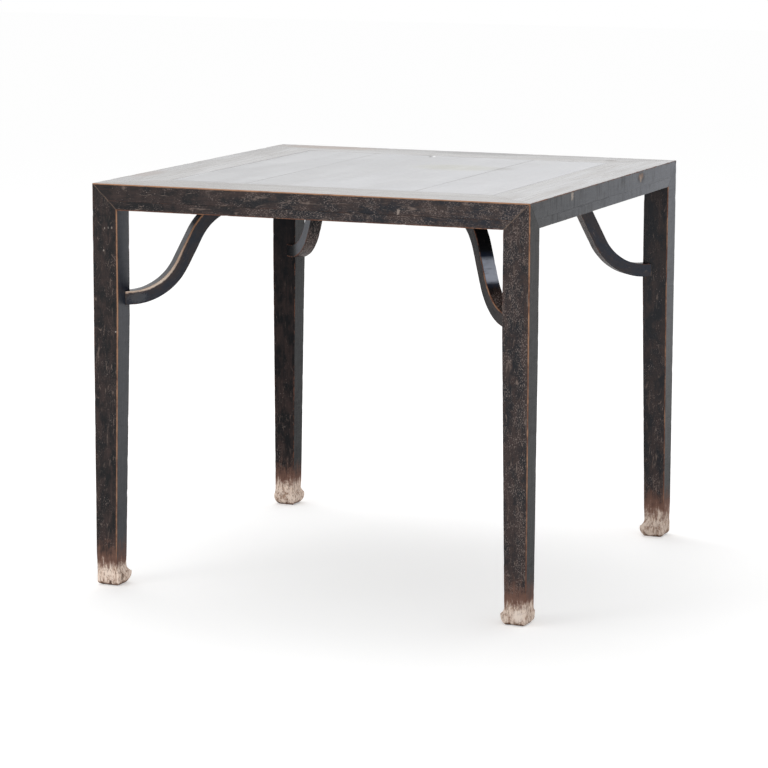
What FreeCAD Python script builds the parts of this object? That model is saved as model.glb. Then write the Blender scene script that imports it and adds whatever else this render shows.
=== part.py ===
import FreeCAD, Part
import math
import os
import Sketcher

# Eight immortals table: a square table whose rails stand flush with its four corner legs.
#
# Frame of reference: millimetres, +Z up, the front of the table faces -Y, and the origin
# lies on the floor under the middle of the top.
#
# The top is a mitred frame round three loose boards, carried by two battens. Four aprons
# hang under the frame. Legs, frame and aprons meet at each corner in a three-way mitre, and
# an S-shaped brace runs from the inner corner of each leg up to a batten.

SIZES = {
    # overall
    "table_width": 950.0,
    "table_depth": 950.0,
    "table_height": 840.0,
    # top frame
    "frame_width": 120.0,
    "frame_thickness": 35.0,
    "groove_depth": 10.5,
    "mitre_tenon_inset": 50.0,
    "mitre_tenon_root": 55.0,
    "mitre_tenon_end": 95.0,
    "mitre_tenon_lift": 7.0,
    "mitre_tenon_thickness": 10.0,
    # boards
    "board_thickness": 14.0,
    "board_tongue_thickness": 8.0,
    "board_tongue_length": 10.0,
    "middle_board_width": 370.0,
    "board_gap": 0.3,
    # battens
    "batten_width": 50.0,
    "batten_height": 21.0,
    "batten_neck_width": 26.0,
    "batten_crown_width": 34.0,
    "batten_crown_height": 6.0,
    "batten_tenon_width": 30.0,
    "batten_tenon_height": 12.0,
    "batten_tenon_lift": 4.0,
    "batten_tenon_length": 28.0,
    # aprons
    "apron_height": 19.0,
    "apron_thickness": 22.0,
    "apron_tongue_inset": 7.0,
    "apron_tongue_thickness": 8.0,
    "apron_tongue_height": 6.0,
    "apron_tongue_setback": 8.0,
    # legs
    "leg_size": 56.0,
    "ankle_size": 46.5,
    "ankle_height": 38.0,
    "hoof_flare": 8.0,
    "hoof_tip_height": 24.0,
    "hoof_toe_radius": 30.0,
    "hoof_sole_size": 45.0,
    "foot_round": 7.0,
    "leg_tenon_inset": 16.0,
    "leg_tenon_size": 24.0,
    "leg_tenon_cover": 12.0,
    # braces
    "brace_width": 30.0,
    "brace_depth": 28.5,
    "brace_drop": 218.0,
    "brace_slope": 62.0,
    "brace_lower_bend": 124.5,
    "brace_upper_bend": 118.0,
    "brace_tail_length": 44.0,
    "brace_tenon_width": 10.0,
    "brace_tenon_height": 16.0,
    "brace_tenon_hook": 3.0,
    "brace_tenon_length": 24.0,
    # wedges under the brace tenons
    "wedge_height": 10.0,
    "wedge_taper": 2.0,
    # pins through the brace tails
    "pin_diameter": 7.0,
    "pin_grip": 14.0,
    "pin_stand_out": 1.5,
    "pin_chamfer": 0.8,
    # fits
    "joint_clearance": 0.2,
}

# Cuts that leave the solid run this far past its faces.
OVERSHOOT = 5.0
DIAGONAL = math.sqrt(2.0)

# name, side of the table in X, side in Y, turn about Z
CORNERS = (
    ("front_left", -1, -1, 0.0),
    ("front_right", 1, -1, 90.0),
    ("back_right", 1, 1, 180.0),
    ("back_left", -1, 1, 270.0),
)

doc = FreeCAD.newDocument("EightImmortalsTable")
pieces = []


class Size:
    """A length or angle: its number, and the spreadsheet expression that gives it."""

    def __init__(self, value, text):
        self.value = value
        self.text = text

    def join(self, sign, other, value):
        return Size(value, f"({self.text} {sign} {size_of(other).text})")

    def __add__(self, other):
        return self.join("+", other, self.value + size_of(other).value)

    def __sub__(self, other):
        return self.join("-", other, self.value - size_of(other).value)

    def __mul__(self, other):
        return self.join("*", other, self.value * size_of(other).value)

    def __truediv__(self, other):
        return self.join("/", other, self.value / size_of(other).value)

    def __neg__(self):
        return Size(-self.value, f"(0 - {self.text})")


def size_of(number):
    """Take a plain number as a Size; a Size stays as it is."""
    return number if isinstance(number, Size) else Size(float(number), f"{float(number)}")


def sine(angle):
    return Size(math.sin(math.radians(angle.value)), f"sin({angle.text} * 1deg)")


def cosine(angle):
    return Size(math.cos(math.radians(angle.value)), f"cos({angle.text} * 1deg)")


def write_sheet():
    """Fill the spreadsheet, one row per size, and return the sizes by name."""
    sheet = doc.addObject("Spreadsheet::Sheet", "Sizes")
    sizes = {}
    for row, (name, value) in enumerate(SIZES.items(), start=1):
        sheet.set(f"A{row}", name)
        sheet.set(f"B{row}", str(value))
        sheet.setAlias(f"B{row}", name)
        sizes[name] = Size(value, f"Sizes.{name}")
    doc.recompute()
    return sizes


S = write_sheet()

# Levels above the floor, from the top down.
TOP = S["table_height"]
BOARD_BOTTOM = TOP - S["board_thickness"]
TONGUE_TOP = BOARD_BOTTOM + S["board_tongue_thickness"]
FRAME_BOTTOM = TOP - S["frame_thickness"]
RAIL_BOTTOM = FRAME_BOTTOM - S["apron_height"]
BRACE_TOP = BOARD_BOTTOM - S["batten_height"]
BRACE_FOOT = BRACE_TOP - S["brace_drop"]

HALF_WIDTH = S["table_width"] / 2
HALF_DEPTH = S["table_depth"] / 2
INNER_WIDTH = S["table_width"] - S["frame_width"] * 2
INNER_DEPTH = S["table_depth"] - S["frame_width"] * 2
CLEARANCE = S["joint_clearance"]

# On each face the mitre falls from the top outer corner to the inner corner of leg and rail.
# This is its distance from the corner where it passes the underside of the frame.
MITRE_AT_FRAME = S["leg_size"] * S["frame_thickness"] / (S["frame_thickness"] + S["apron_height"])

# The brace starts at the inner corner of the leg, measured along the plan diagonal from the
# outer corner. The leg keeps its full size down to the floor of the mortise under the brace,
# and tapers from there.
BRACE_START = (S["leg_size"] + CLEARANCE) * DIAGONAL
MORTISE_FLOOR = BRACE_FOOT - S["wedge_height"] - CLEARANCE * 2
TENON_END = BRACE_START - S["brace_tenon_length"]
WEDGE_MOUTH = BRACE_START - S["brace_tenon_width"] / 2 - CLEARANCE

# The brace's centre line: level, bend up to its slope, straight, bend back to level.
HALF_BRACE = S["brace_depth"] / 2
SLOPE_SINE = sine(S["brace_slope"])
SLOPE_COSINE = cosine(S["brace_slope"])
BEND_RISE = (S["brace_lower_bend"] + S["brace_upper_bend"]) * (size_of(1) - SLOPE_COSINE)
STRAIGHT_RISE = S["brace_drop"] - S["brace_depth"] - BEND_RISE
STRAIGHT_RUN = STRAIGHT_RISE * SLOPE_COSINE / SLOPE_SINE
LOWER_BEND_END = BRACE_START + S["brace_lower_bend"] * SLOPE_SINE
UPPER_BEND_START = LOWER_BEND_END + STRAIGHT_RUN
TAIL_START = UPPER_BEND_START + S["brace_upper_bend"] * SLOPE_SINE
TAIL_END = TAIL_START + S["brace_tail_length"]
PIN_REACH = TAIL_START + S["brace_tail_length"] / 2

# Distance of a pin, and so of a batten's centre line, from the two nearest table faces.
PIN_INSET = PIN_REACH / DIAGONAL


class Bend:
    """A round stretch of an outline: its radius and its centre."""

    def __init__(self, radius, centre_x, centre_y):
        self.radius = size_of(radius)
        self.centre = FreeCAD.Vector(size_of(centre_x).value, size_of(centre_y).value, 0)

    def arc(self, start, end):
        """The arc of less than half a turn from start to end."""
        middle = (start - self.centre).normalize() + (end - self.centre).normalize()
        middle.normalize()
        return Part.Arc(start, self.centre + middle * self.radius.value, end)


def origin_plane(body, role):
    """The body's own origin plane with this role."""
    return next(plane for plane in body.Origin.OriginFeatures if plane.Role == role)


def add_sketch(body, name, role, offset=0, turn=0.0):
    """An empty sketch on an origin plane of the body, moved along the plane's normal.

    turn swings it about its own vertical axis, in degrees.
    """
    sketch = body.newObject("Sketcher::SketchObject", f"{body.Label}_{name}_sketch")
    sketch.AttachmentSupport = [(origin_plane(body, role), "")]
    sketch.MapMode = "FlatFace"
    swing = FreeCAD.Rotation(FreeCAD.Vector(0, 1, 0), turn)
    sketch.AttachmentOffset = FreeCAD.Placement(FreeCAD.Vector(0, 0, 0), swing)
    sketch.setExpression("AttachmentOffset.Base.z", size_of(offset).text)
    return sketch


def bind(sketch, kind, targets, size):
    """Add one constraint and tie its value to the spreadsheet."""
    index = sketch.addConstraint(Sketcher.Constraint(kind, *targets, size.value))
    sketch.setExpression(f"Constraints[{index}]", size.text)


def bind_point(sketch, geometry, end, x_size, y_size):
    """Fix a point of the sketch by its two distances from the sketch's origin."""
    bind(sketch, "DistanceX", (-1, 1, geometry, end), x_size)
    bind(sketch, "DistanceY", (-1, 1, geometry, end), y_size)


def draw_outline(sketch, corners, bends=None):
    """Draw one closed outline: a line from each corner to the next, or a bend where given.

    corners holds (x, y) pairs, and bends maps a corner's number to the Bend that leaves it.
    """
    bends = bends or {}
    corners = [(size_of(x), size_of(y)) for x, y in corners]
    points = [FreeCAD.Vector(x.value, y.value, 0) for x, y in corners]
    ends = []
    for number, start in enumerate(points):
        finish = points[(number + 1) % len(points)]
        if number in bends:
            shape = bends[number].arc(start, finish)
        else:
            shape = Part.LineSegment(start, finish)
        geometry = sketch.addGeometry(shape, False)
        forward = sketch.getPoint(geometry, 1).distanceToPoint(start) < 1e-6
        ends.append((geometry, 1, 2) if forward else (geometry, 2, 1))
    for number, (geometry, first, last) in enumerate(ends):
        next_geometry, next_first, _ = ends[(number + 1) % len(ends)]
        sketch.addConstraint(
            Sketcher.Constraint("Coincident", geometry, last, next_geometry, next_first)
        )
        bind_point(sketch, geometry, first, *corners[number])
        if number in bends:
            bind(sketch, "Radius", (geometry,), bends[number].radius)


def draw_rectangle(sketch, x_low, x_high, y_low, y_high):
    draw_outline(sketch, [(x_low, y_low), (x_high, y_low), (x_high, y_high), (x_low, y_high)])


def draw_circle(sketch, x_size, y_size, diameter):
    """A circle by its centre and its diameter."""
    x_size, y_size, diameter = size_of(x_size), size_of(y_size), size_of(diameter)
    centre = FreeCAD.Vector(x_size.value, y_size.value, 0)
    circle = Part.Circle(centre, FreeCAD.Vector(0, 0, 1), diameter.value / 2)
    geometry = sketch.addGeometry(circle, False)
    bind_point(sketch, geometry, 3, x_size, y_size)
    bind(sketch, "Diameter", (geometry,), diameter)


def add_feature(body, kind, sketch, length, backwards=False, both_ways=False):
    """Pad or pocket a sketch by a length that the spreadsheet gives."""
    name = sketch.Name.replace("_sketch", "")
    feature = body.newObject(f"PartDesign::{kind}", name)
    feature.Profile = sketch
    feature.SideType = "Symmetric" if both_ways else "One side"
    feature.Reversed = backwards
    feature.setExpression("Length", size_of(length).text)
    sketch.Visibility = False
    return feature


def add_body(name, base_x=0, base_y=0, base_z=0, turn=0.0):
    """A new sub-part, with its Placement tied to the spreadsheet."""
    body = doc.addObject("PartDesign::Body", name)
    body.Label = name
    spin = FreeCAD.Rotation(FreeCAD.Vector(0, 0, 1), turn)
    body.Placement = FreeCAD.Placement(FreeCAD.Vector(0, 0, 0), spin)
    for axis, base in zip("xyz", (base_x, base_y, base_z)):
        body.setExpression(f"Placement.Base.{axis}", size_of(base).text)
    pieces.append(body)
    return body


def corner_body(name, side_x, side_y, turn):
    """A sub-part whose origin is an outer corner of the table at floor level."""
    return add_body(name, HALF_WIDTH * side_x, HALF_DEPTH * side_y, 0, turn)


# ---------------------------------------------------------------- top frame
# Each side of the frame, and the apron under it, is drawn from its outer left corner: x runs
# along the side, y inwards from the outer face, z up from the floor.


def mirrored(length, low, high):
    """The span low..high at the left end, and its mirror image at the right end."""
    return ((low, high), (length - high, length - low))


def add_frame(name, side_x, side_y, turn, length, has_tenons):
    """One side of the mitred frame. Two sides carry tenons, the other two their mortises."""
    body = corner_body(name, side_x, side_y, turn)
    width = S["frame_width"]

    plan = add_sketch(body, "plank", "XY_Plane", FRAME_BOTTOM)
    draw_outline(plan, [(0, 0), (length, 0), (length - width, width), (width, width)])
    add_feature(body, "Pad", plan, S["frame_thickness"])

    # The underside rises along the mitre where the plank sits on the legs.
    seats = add_sketch(body, "leg_seats", "XZ_Plane")
    low = FRAME_BOTTOM - OVERSHOOT
    draw_outline(
        seats,
        [(0, TOP), (MITRE_AT_FRAME, FRAME_BOTTOM), (MITRE_AT_FRAME, low), (-OVERSHOOT, low),
         (-OVERSHOOT, TOP)],
    )
    far = length - MITRE_AT_FRAME
    beyond = length + OVERSHOOT
    draw_outline(
        seats,
        [(length, TOP), (beyond, TOP), (beyond, low), (far, low), (far, FRAME_BOTTOM)],
    )
    add_feature(body, "Pocket", seats, width)

    add_panel_groove(body, length)
    add_leg_mortises(body, length)
    add_apron_groove(body, length)
    if has_tenons:
        add_mitre_tenons(body, length)
        add_batten_mortises(body, length)
    else:
        add_mitre_mortises(body, length)


def add_panel_groove(body, length):
    """The groove in the inner edge that takes the tongues of the boards."""
    groove = add_sketch(body, "panel_groove", "YZ_Plane")
    draw_rectangle(
        groove,
        S["frame_width"] - S["groove_depth"], S["frame_width"] + OVERSHOOT,
        BOARD_BOTTOM - CLEARANCE, TONGUE_TOP + CLEARANCE,
    )
    add_feature(body, "Pocket", groove, length, backwards=True)


def add_leg_mortises(body, length):
    """Blind mortises over the legs' top tenons, shared with the neighbouring sides."""
    tenon_top = TOP - S["leg_tenon_cover"] + CLEARANCE
    inner = S["leg_tenon_inset"] - CLEARANCE
    outer = S["leg_tenon_inset"] + S["leg_tenon_size"] + CLEARANCE
    mortises = add_sketch(body, "leg_mortises", "XY_Plane", tenon_top)
    for start, end in mirrored(length, inner, outer):
        draw_rectangle(mortises, start, end, inner, outer)
    add_feature(body, "Pocket", mortises, tenon_top - FRAME_BOTTOM + OVERSHOOT)


def apron_tongue_start():
    """Where the tongue on an apron starts, clear of the leg."""
    return S["leg_size"] + S["apron_tongue_setback"]


def add_apron_groove(body, length):
    """The groove in the underside that takes the apron's tongue."""
    roof = FRAME_BOTTOM + S["apron_tongue_height"] + CLEARANCE
    start = apron_tongue_start() - CLEARANCE
    inset = S["apron_tongue_inset"]
    groove = add_sketch(body, "apron_groove", "XY_Plane", roof)
    draw_rectangle(
        groove,
        start, length - start,
        inset - CLEARANCE, inset + S["apron_tongue_thickness"] + CLEARANCE,
    )
    add_feature(body, "Pocket", groove, S["apron_tongue_height"] + CLEARANCE + OVERSHOOT)


def add_mitre_tenons(body, length):
    """Blind tenons that leave both mitred ends and enter the neighbouring sides."""
    tip, root, end = S["mitre_tenon_inset"], S["mitre_tenon_root"], S["mitre_tenon_end"]
    tenons = add_sketch(body, "mitre_tenons", "XY_Plane", FRAME_BOTTOM + S["mitre_tenon_lift"])
    draw_outline(tenons, [(tip, root), (root, root), (end, end), (tip, end)])
    draw_outline(
        tenons,
        [(length - tip, root), (length - tip, end), (length - end, end), (length - root, root)],
    )
    add_feature(body, "Pad", tenons, S["mitre_tenon_thickness"])


def add_mitre_mortises(body, length):
    """The mortises for the neighbours' tenons, open at the mitred ends."""
    lift = S["mitre_tenon_lift"] + S["mitre_tenon_thickness"] + CLEARANCE
    mortises = add_sketch(body, "mitre_mortises", "XY_Plane", FRAME_BOTTOM + lift)
    spans = mirrored(length, S["mitre_tenon_root"] - CLEARANCE, S["mitre_tenon_end"] + CLEARANCE)
    for start, end in spans:
        draw_rectangle(
            mortises, start, end, S["mitre_tenon_inset"] - CLEARANCE, S["mitre_tenon_end"] + OVERSHOOT
        )
    add_feature(body, "Pocket", mortises, S["mitre_tenon_thickness"] + CLEARANCE * 2)


def add_batten_mortises(body, length):
    """Blind mortises in the inner edge for the tenons of both battens."""
    half = S["batten_tenon_width"] / 2 + CLEARANCE
    lift = S["batten_tenon_lift"] + S["batten_tenon_height"] + CLEARANCE
    depth = S["batten_tenon_length"] + CLEARANCE
    mortises = add_sketch(body, "batten_mortises", "XY_Plane", BRACE_TOP + lift)
    for start, end in mirrored(length, PIN_INSET - half, PIN_INSET + half):
        draw_rectangle(
            mortises, start, end, S["frame_width"] - depth, S["frame_width"] + OVERSHOOT
        )
    add_feature(body, "Pocket", mortises, S["batten_tenon_height"] + CLEARANCE * 2)


# ---------------------------------------------------------------- aprons


def add_apron(name, side_x, side_y, turn, length):
    """The strip under one side of the frame, cut to the mitre at both ends."""
    body = corner_body(name, side_x, side_y, turn)
    leg = S["leg_size"]
    strip = add_sketch(body, "strip", "XZ_Plane")
    draw_outline(
        strip,
        [(leg, RAIL_BOTTOM), (length - leg, RAIL_BOTTOM),
         (length - MITRE_AT_FRAME, FRAME_BOTTOM), (MITRE_AT_FRAME, FRAME_BOTTOM)],
    )
    add_feature(body, "Pad", strip, S["apron_thickness"], backwards=True)

    tongue = add_sketch(body, "tongue", "XY_Plane", FRAME_BOTTOM)
    start = apron_tongue_start()
    inset = S["apron_tongue_inset"]
    draw_rectangle(tongue, start, length - start, inset, inset + S["apron_tongue_thickness"])
    add_feature(body, "Pad", tongue, S["apron_tongue_height"])


# ---------------------------------------------------------------- legs
# A leg is drawn from its outer corner: x and y run inwards from the two outer faces, z up.


def draw_leg_side(sketch):
    """The side of a leg: hoof foot, taper up to the brace, straight to the mitre at the top.

    Both inner faces have this outline, so the leg is the same seen along x and along y.
    """
    ankle, flare = S["ankle_size"], S["hoof_flare"]
    tip_x, tip_z = ankle + flare, S["hoof_tip_height"]
    instep = S["ankle_height"] - tip_z
    instep_radius = (flare * flare + instep * instep) / (flare * 2)
    toe_radius, sole, round_foot = S["hoof_toe_radius"], S["hoof_sole_size"], S["foot_round"]

    # the toe's centre lies inside the leg, on the middle line of its two ends
    half_x, half_z = (tip_x.value - sole.value) / 2, tip_z.value / 2
    half_chord = math.hypot(half_x, half_z)
    back = math.sqrt(toe_radius.value ** 2 - half_chord ** 2) / half_chord
    toe_x, toe_z = sole.value + half_x - half_z * back, half_z + half_x * back

    corners = [
        (round_foot, 0),
        (sole, 0),
        (tip_x, tip_z),
        (ankle, S["ankle_height"]),
        (S["leg_size"], MORTISE_FLOOR),
        (S["leg_size"], FRAME_BOTTOM),
        (MITRE_AT_FRAME, FRAME_BOTTOM),
        (0, TOP),
        (0, round_foot),
    ]
    bends = {
        1: Bend(toe_radius, toe_x, toe_z),
        2: Bend(instep_radius, ankle + instep_radius, S["ankle_height"]),
        8: Bend(round_foot, round_foot, round_foot),
    }
    draw_outline(sketch, corners, bends)


def draw_apron_notch(sketch):
    """The wedge that an apron takes out of the leg, seen from outside the table."""
    beyond = S["leg_size"] + OVERSHOOT
    draw_outline(
        sketch,
        [(S["leg_size"], RAIL_BOTTOM), (beyond, RAIL_BOTTOM), (beyond, FRAME_BOTTOM),
         (MITRE_AT_FRAME, FRAME_BOTTOM)],
    )


def add_leg(name, side_x, side_y, turn):
    """One leg, with the seats of the frame, the aprons and the brace."""
    body = corner_body(name, side_x, side_y, turn)
    stock = S["leg_size"] + S["hoof_flare"] * 2

    side = add_sketch(body, "side", "XZ_Plane")
    draw_leg_side(side)
    add_feature(body, "Pad", side, stock, backwards=True)

    # the same outline is sawn out along x: what lies round it goes
    waste = add_sketch(body, "waste", "YZ_Plane")
    draw_leg_side(waste)
    draw_rectangle(waste, -OVERSHOOT, stock + OVERSHOOT, -OVERSHOOT, TOP + OVERSHOOT)
    add_feature(body, "Pocket", waste, stock, backwards=True)

    tenon = add_sketch(body, "tenon", "XY_Plane", FRAME_BOTTOM)
    start, end = S["leg_tenon_inset"], S["leg_tenon_inset"] + S["leg_tenon_size"]
    draw_rectangle(tenon, start, end, start, end)
    add_feature(body, "Pad", tenon, S["frame_thickness"] - S["leg_tenon_cover"])

    notch_x = add_sketch(body, "notch_x", "XZ_Plane")
    draw_apron_notch(notch_x)
    add_feature(body, "Pocket", notch_x, S["apron_thickness"])
    notch_y = add_sketch(body, "notch_y", "YZ_Plane")
    draw_apron_notch(notch_y)
    add_feature(body, "Pocket", notch_y, S["apron_thickness"], backwards=True)

    # the mortise lies in the leg's diagonal plane and holds the brace's tenon and its wedge
    mortise = add_sketch(body, "mortise", "XZ_Plane", turn=45.0)
    back = TENON_END - CLEARANCE
    beyond = BRACE_START + OVERSHOOT
    roof = BRACE_FOOT + S["brace_tenon_height"] + CLEARANCE
    deep_end = MORTISE_FLOOR + S["wedge_taper"]
    draw_outline(
        mortise,
        [(back, deep_end), (TENON_END, deep_end),
         (WEDGE_MOUTH, MORTISE_FLOOR), (beyond, MORTISE_FLOOR), (beyond, roof),
         (BRACE_START, roof),
         (TENON_END, roof + S["brace_tenon_hook"]), (back, roof + S["brace_tenon_hook"])],
    )
    width = S["brace_tenon_width"] + CLEARANCE * 2
    add_feature(body, "Pocket", mortise, width, both_ways=True)


# ---------------------------------------------------------------- braces
# Brace, wedge and pin are drawn in the diagonal plane of a leg: x runs inwards from the
# leg's outer corner along the diagonal of the table, z up from the floor.


def add_brace(name, side_x, side_y, turn):
    """One S-shaped brace, birdsmouthed over the leg's inner corner."""
    body = corner_body(name, side_x, side_y, turn + 45.0)
    depth, half_width = S["brace_depth"], S["brace_width"] / 2
    lower, upper = S["brace_lower_bend"], S["brace_upper_bend"]
    foot_centre = BRACE_FOOT + HALF_BRACE + lower
    tail_centre = BRACE_TOP - HALF_BRACE - upper
    heel = BRACE_START - half_width - OVERSHOOT

    # where the edges leave and reach the bends, across the slope from the centre line
    shift_x, shift_z = HALF_BRACE * SLOPE_SINE, HALF_BRACE * SLOPE_COSINE
    low_z = foot_centre - lower * SLOPE_COSINE
    high_z = tail_centre + upper * SLOPE_COSINE

    side = add_sketch(body, "side", "XZ_Plane")
    corners = [
        (heel, BRACE_FOOT),
        (BRACE_START, BRACE_FOOT),
        (LOWER_BEND_END + shift_x, low_z - shift_z),
        (UPPER_BEND_START + shift_x, high_z - shift_z),
        (TAIL_START, BRACE_TOP - depth),
        (TAIL_END, BRACE_TOP - depth),
        (TAIL_END, BRACE_TOP),
        (TAIL_START, BRACE_TOP),
        (UPPER_BEND_START - shift_x, high_z + shift_z),
        (LOWER_BEND_END - shift_x, low_z + shift_z),
        (BRACE_START, BRACE_FOOT + depth),
        (heel, BRACE_FOOT + depth),
    ]
    bends = {
        1: Bend(lower + HALF_BRACE, BRACE_START, foot_centre),
        3: Bend(upper - HALF_BRACE, TAIL_START, tail_centre),
        7: Bend(upper + HALF_BRACE, TAIL_START, tail_centre),
        9: Bend(lower - HALF_BRACE, BRACE_START, foot_centre),
    }
    draw_outline(side, corners, bends)
    add_feature(body, "Pad", side, S["brace_width"], both_ways=True)

    # the birdsmouth has the leg's own right angle
    mouth = add_sketch(body, "birdsmouth", "XY_Plane", BRACE_FOOT - OVERSHOOT)
    wing = half_width + OVERSHOOT * 2
    draw_outline(mouth, [(BRACE_START, 0), (BRACE_START - wing, wing), (BRACE_START - wing, -wing)])
    add_feature(body, "Pocket", mouth, depth + OVERSHOOT * 2, backwards=True)

    # the tenon hooks upwards: it is taller at its end than at its root
    tenon = add_sketch(body, "tenon", "XZ_Plane")
    root_top = BRACE_FOOT + S["brace_tenon_height"]
    inside = BRACE_START + OVERSHOOT
    draw_outline(
        tenon,
        [(TENON_END, BRACE_FOOT), (BRACE_START, BRACE_FOOT), (inside, BRACE_FOOT + OVERSHOOT),
         (inside, root_top), (BRACE_START, root_top),
         (TENON_END, root_top + S["brace_tenon_hook"])],
    )
    add_feature(body, "Pad", tenon, S["brace_tenon_width"], both_ways=True)

    hole = add_sketch(body, "pin_hole", "XY_Plane", BRACE_TOP + OVERSHOOT)
    draw_circle(hole, PIN_REACH, 0, S["pin_diameter"] + CLEARANCE * 2)
    add_feature(body, "Pocket", hole, depth + OVERSHOOT * 2)


def add_wedge(name, side_x, side_y, turn):
    """The wedge under a brace's tenon, flush with the leg's inner corner."""
    body = corner_body(name, side_x, side_y, turn + 45.0)
    wedge = add_sketch(body, "side", "XZ_Plane")
    top = BRACE_FOOT - CLEARANCE
    bottom = top - S["wedge_height"]
    draw_outline(
        wedge,
        [(TENON_END, bottom + S["wedge_taper"]), (WEDGE_MOUTH, bottom), (WEDGE_MOUTH, top),
         (TENON_END, top)],
    )
    add_feature(body, "Pad", wedge, S["brace_tenon_width"], both_ways=True)


def add_pin(name, side_x, side_y, turn):
    """The pin that holds a brace's tail to its batten, from below."""
    body = corner_body(name, side_x, side_y, turn + 45.0)
    bottom = BRACE_TOP - S["brace_depth"] - S["pin_stand_out"]
    circle = add_sketch(body, "round", "XY_Plane", bottom)
    draw_circle(circle, PIN_REACH, 0, S["pin_diameter"])
    length = S["pin_stand_out"] + S["brace_depth"] + S["pin_grip"]
    pad = add_feature(body, "Pad", circle, length)
    doc.recompute()
    ends = [
        f"Edge{number}"
        for number, edge in enumerate(pad.Shape.Edges, start=1)
        if edge.isClosed()
    ]
    chamfer = body.newObject("PartDesign::Chamfer", f"{name}_ends")
    chamfer.Base = (pad, ends)
    chamfer.setExpression("Size", S["pin_chamfer"].text)


# ---------------------------------------------------------------- battens
# A batten runs across the table in X. It is drawn from the middle of its left end.


def add_batten(name, side_y):
    """One batten: dovetailed along its top into the boards, tenoned into the frame."""
    base_x = -HALF_WIDTH + S["frame_width"] + CLEARANCE
    body = add_body(name, base_x, (HALF_DEPTH - PIN_INSET) * side_y)
    length = INNER_WIDTH - CLEARANCE * 2
    half = S["batten_width"] / 2

    end_view = add_sketch(body, "bar", "YZ_Plane")
    draw_rectangle(end_view, -half, half, BRACE_TOP, BOARD_BOTTOM)
    add_feature(body, "Pad", end_view, length)

    neck, crown = S["batten_neck_width"] / 2, S["batten_crown_width"] / 2
    dovetail = add_sketch(body, "dovetail", "YZ_Plane")
    top = BOARD_BOTTOM + S["batten_crown_height"]
    draw_outline(
        dovetail, [(-neck, BOARD_BOTTOM), (neck, BOARD_BOTTOM), (crown, top), (-crown, top)]
    )
    add_feature(body, "Pad", dovetail, length)

    tenons = add_sketch(body, "tenons", "XY_Plane", BRACE_TOP + S["batten_tenon_lift"])
    half_tenon = S["batten_tenon_width"] / 2
    reach = S["batten_tenon_length"] - CLEARANCE
    draw_rectangle(tenons, -reach, length + reach, -half_tenon, half_tenon)
    add_feature(body, "Pad", tenons, S["batten_tenon_height"])

    holes = add_sketch(body, "pin_holes", "XY_Plane", BRACE_TOP)
    from_end = PIN_INSET - S["frame_width"] - CLEARANCE
    for place in (from_end, length - from_end):
        draw_circle(holes, place, 0, S["pin_diameter"] + CLEARANCE * 2)
    add_feature(body, "Pocket", holes, S["pin_grip"] + CLEARANCE, backwards=True)


# ---------------------------------------------------------------- boards
# A board runs from front to back. It is drawn from the middle of its left edge.


def add_board(name, base_x, width, left_tongue, right_tongue):
    """One board of the panel, flush with the frame, slotted for the battens."""
    body = add_body(name, base_x)
    half = INNER_DEPTH / 2 - S["board_gap"]
    tongue = S["board_tongue_length"]

    lower = add_sketch(body, "lower", "XY_Plane", BOARD_BOTTOM)
    draw_rectangle(
        lower,
        -tongue if left_tongue else 0, width + tongue if right_tongue else width,
        -(half + tongue), half + tongue,
    )
    add_feature(body, "Pad", lower, S["board_tongue_thickness"])

    upper = add_sketch(body, "upper", "XY_Plane", TONGUE_TOP)
    draw_rectangle(upper, 0, width, -half, half)
    add_feature(body, "Pad", upper, S["board_thickness"] - S["board_tongue_thickness"])

    slots = add_sketch(body, "slots", "YZ_Plane", -(tongue + OVERSHOOT))
    neck = S["batten_neck_width"] / 2 + CLEARANCE
    crown = S["batten_crown_width"] / 2 + CLEARANCE
    roof = BOARD_BOTTOM + S["batten_crown_height"] + CLEARANCE
    middle = HALF_DEPTH - PIN_INSET
    for side in (-1, 1):
        centre = middle * side
        draw_outline(
            slots,
            [(centre - neck, BOARD_BOTTOM - OVERSHOOT), (centre + neck, BOARD_BOTTOM - OVERSHOOT),
             (centre + neck, BOARD_BOTTOM), (centre + crown, roof), (centre - crown, roof),
             (centre - neck, BOARD_BOTTOM)],
        )
    add_feature(body, "Pocket", slots, width + (tongue + OVERSHOOT) * 2, backwards=True)


def add_boards():
    """Three boards: a wide one in the middle and an equal one on each side."""
    gap = S["board_gap"]
    middle = S["middle_board_width"]
    side_width = (INNER_WIDTH - middle) / 2 - gap * 2
    left = -(INNER_WIDTH / 2) + gap
    add_board("board_left", left, side_width, True, False)
    add_board("board_middle", -(middle / 2), middle, False, False)
    add_board("board_right", middle / 2 + gap, side_width, False, True)


def check_model():
    """Stop if any object failed, or if a pad or pocket left the volume as it was."""
    for item in doc.Objects:
        if "Invalid" in item.State or "Error" in item.State:
            raise RuntimeError(f"{item.Label} failed: {item.State}")
        if item.TypeId in ("PartDesign::Pad", "PartDesign::Pocket") and item.BaseFeature:
            change = item.Shape.Volume - item.BaseFeature.Shape.Volume
            if (change > 0) != (item.TypeId == "PartDesign::Pad"):
                raise RuntimeError(f"{item.Label} changed the volume by {change:.3f}")
    for piece in pieces:
        shape = piece.Shape
        if shape.isNull() or not shape.isValid() or len(shape.Solids) != 1:
            raise RuntimeError(f"{piece.Label} is not one valid solid")


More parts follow.
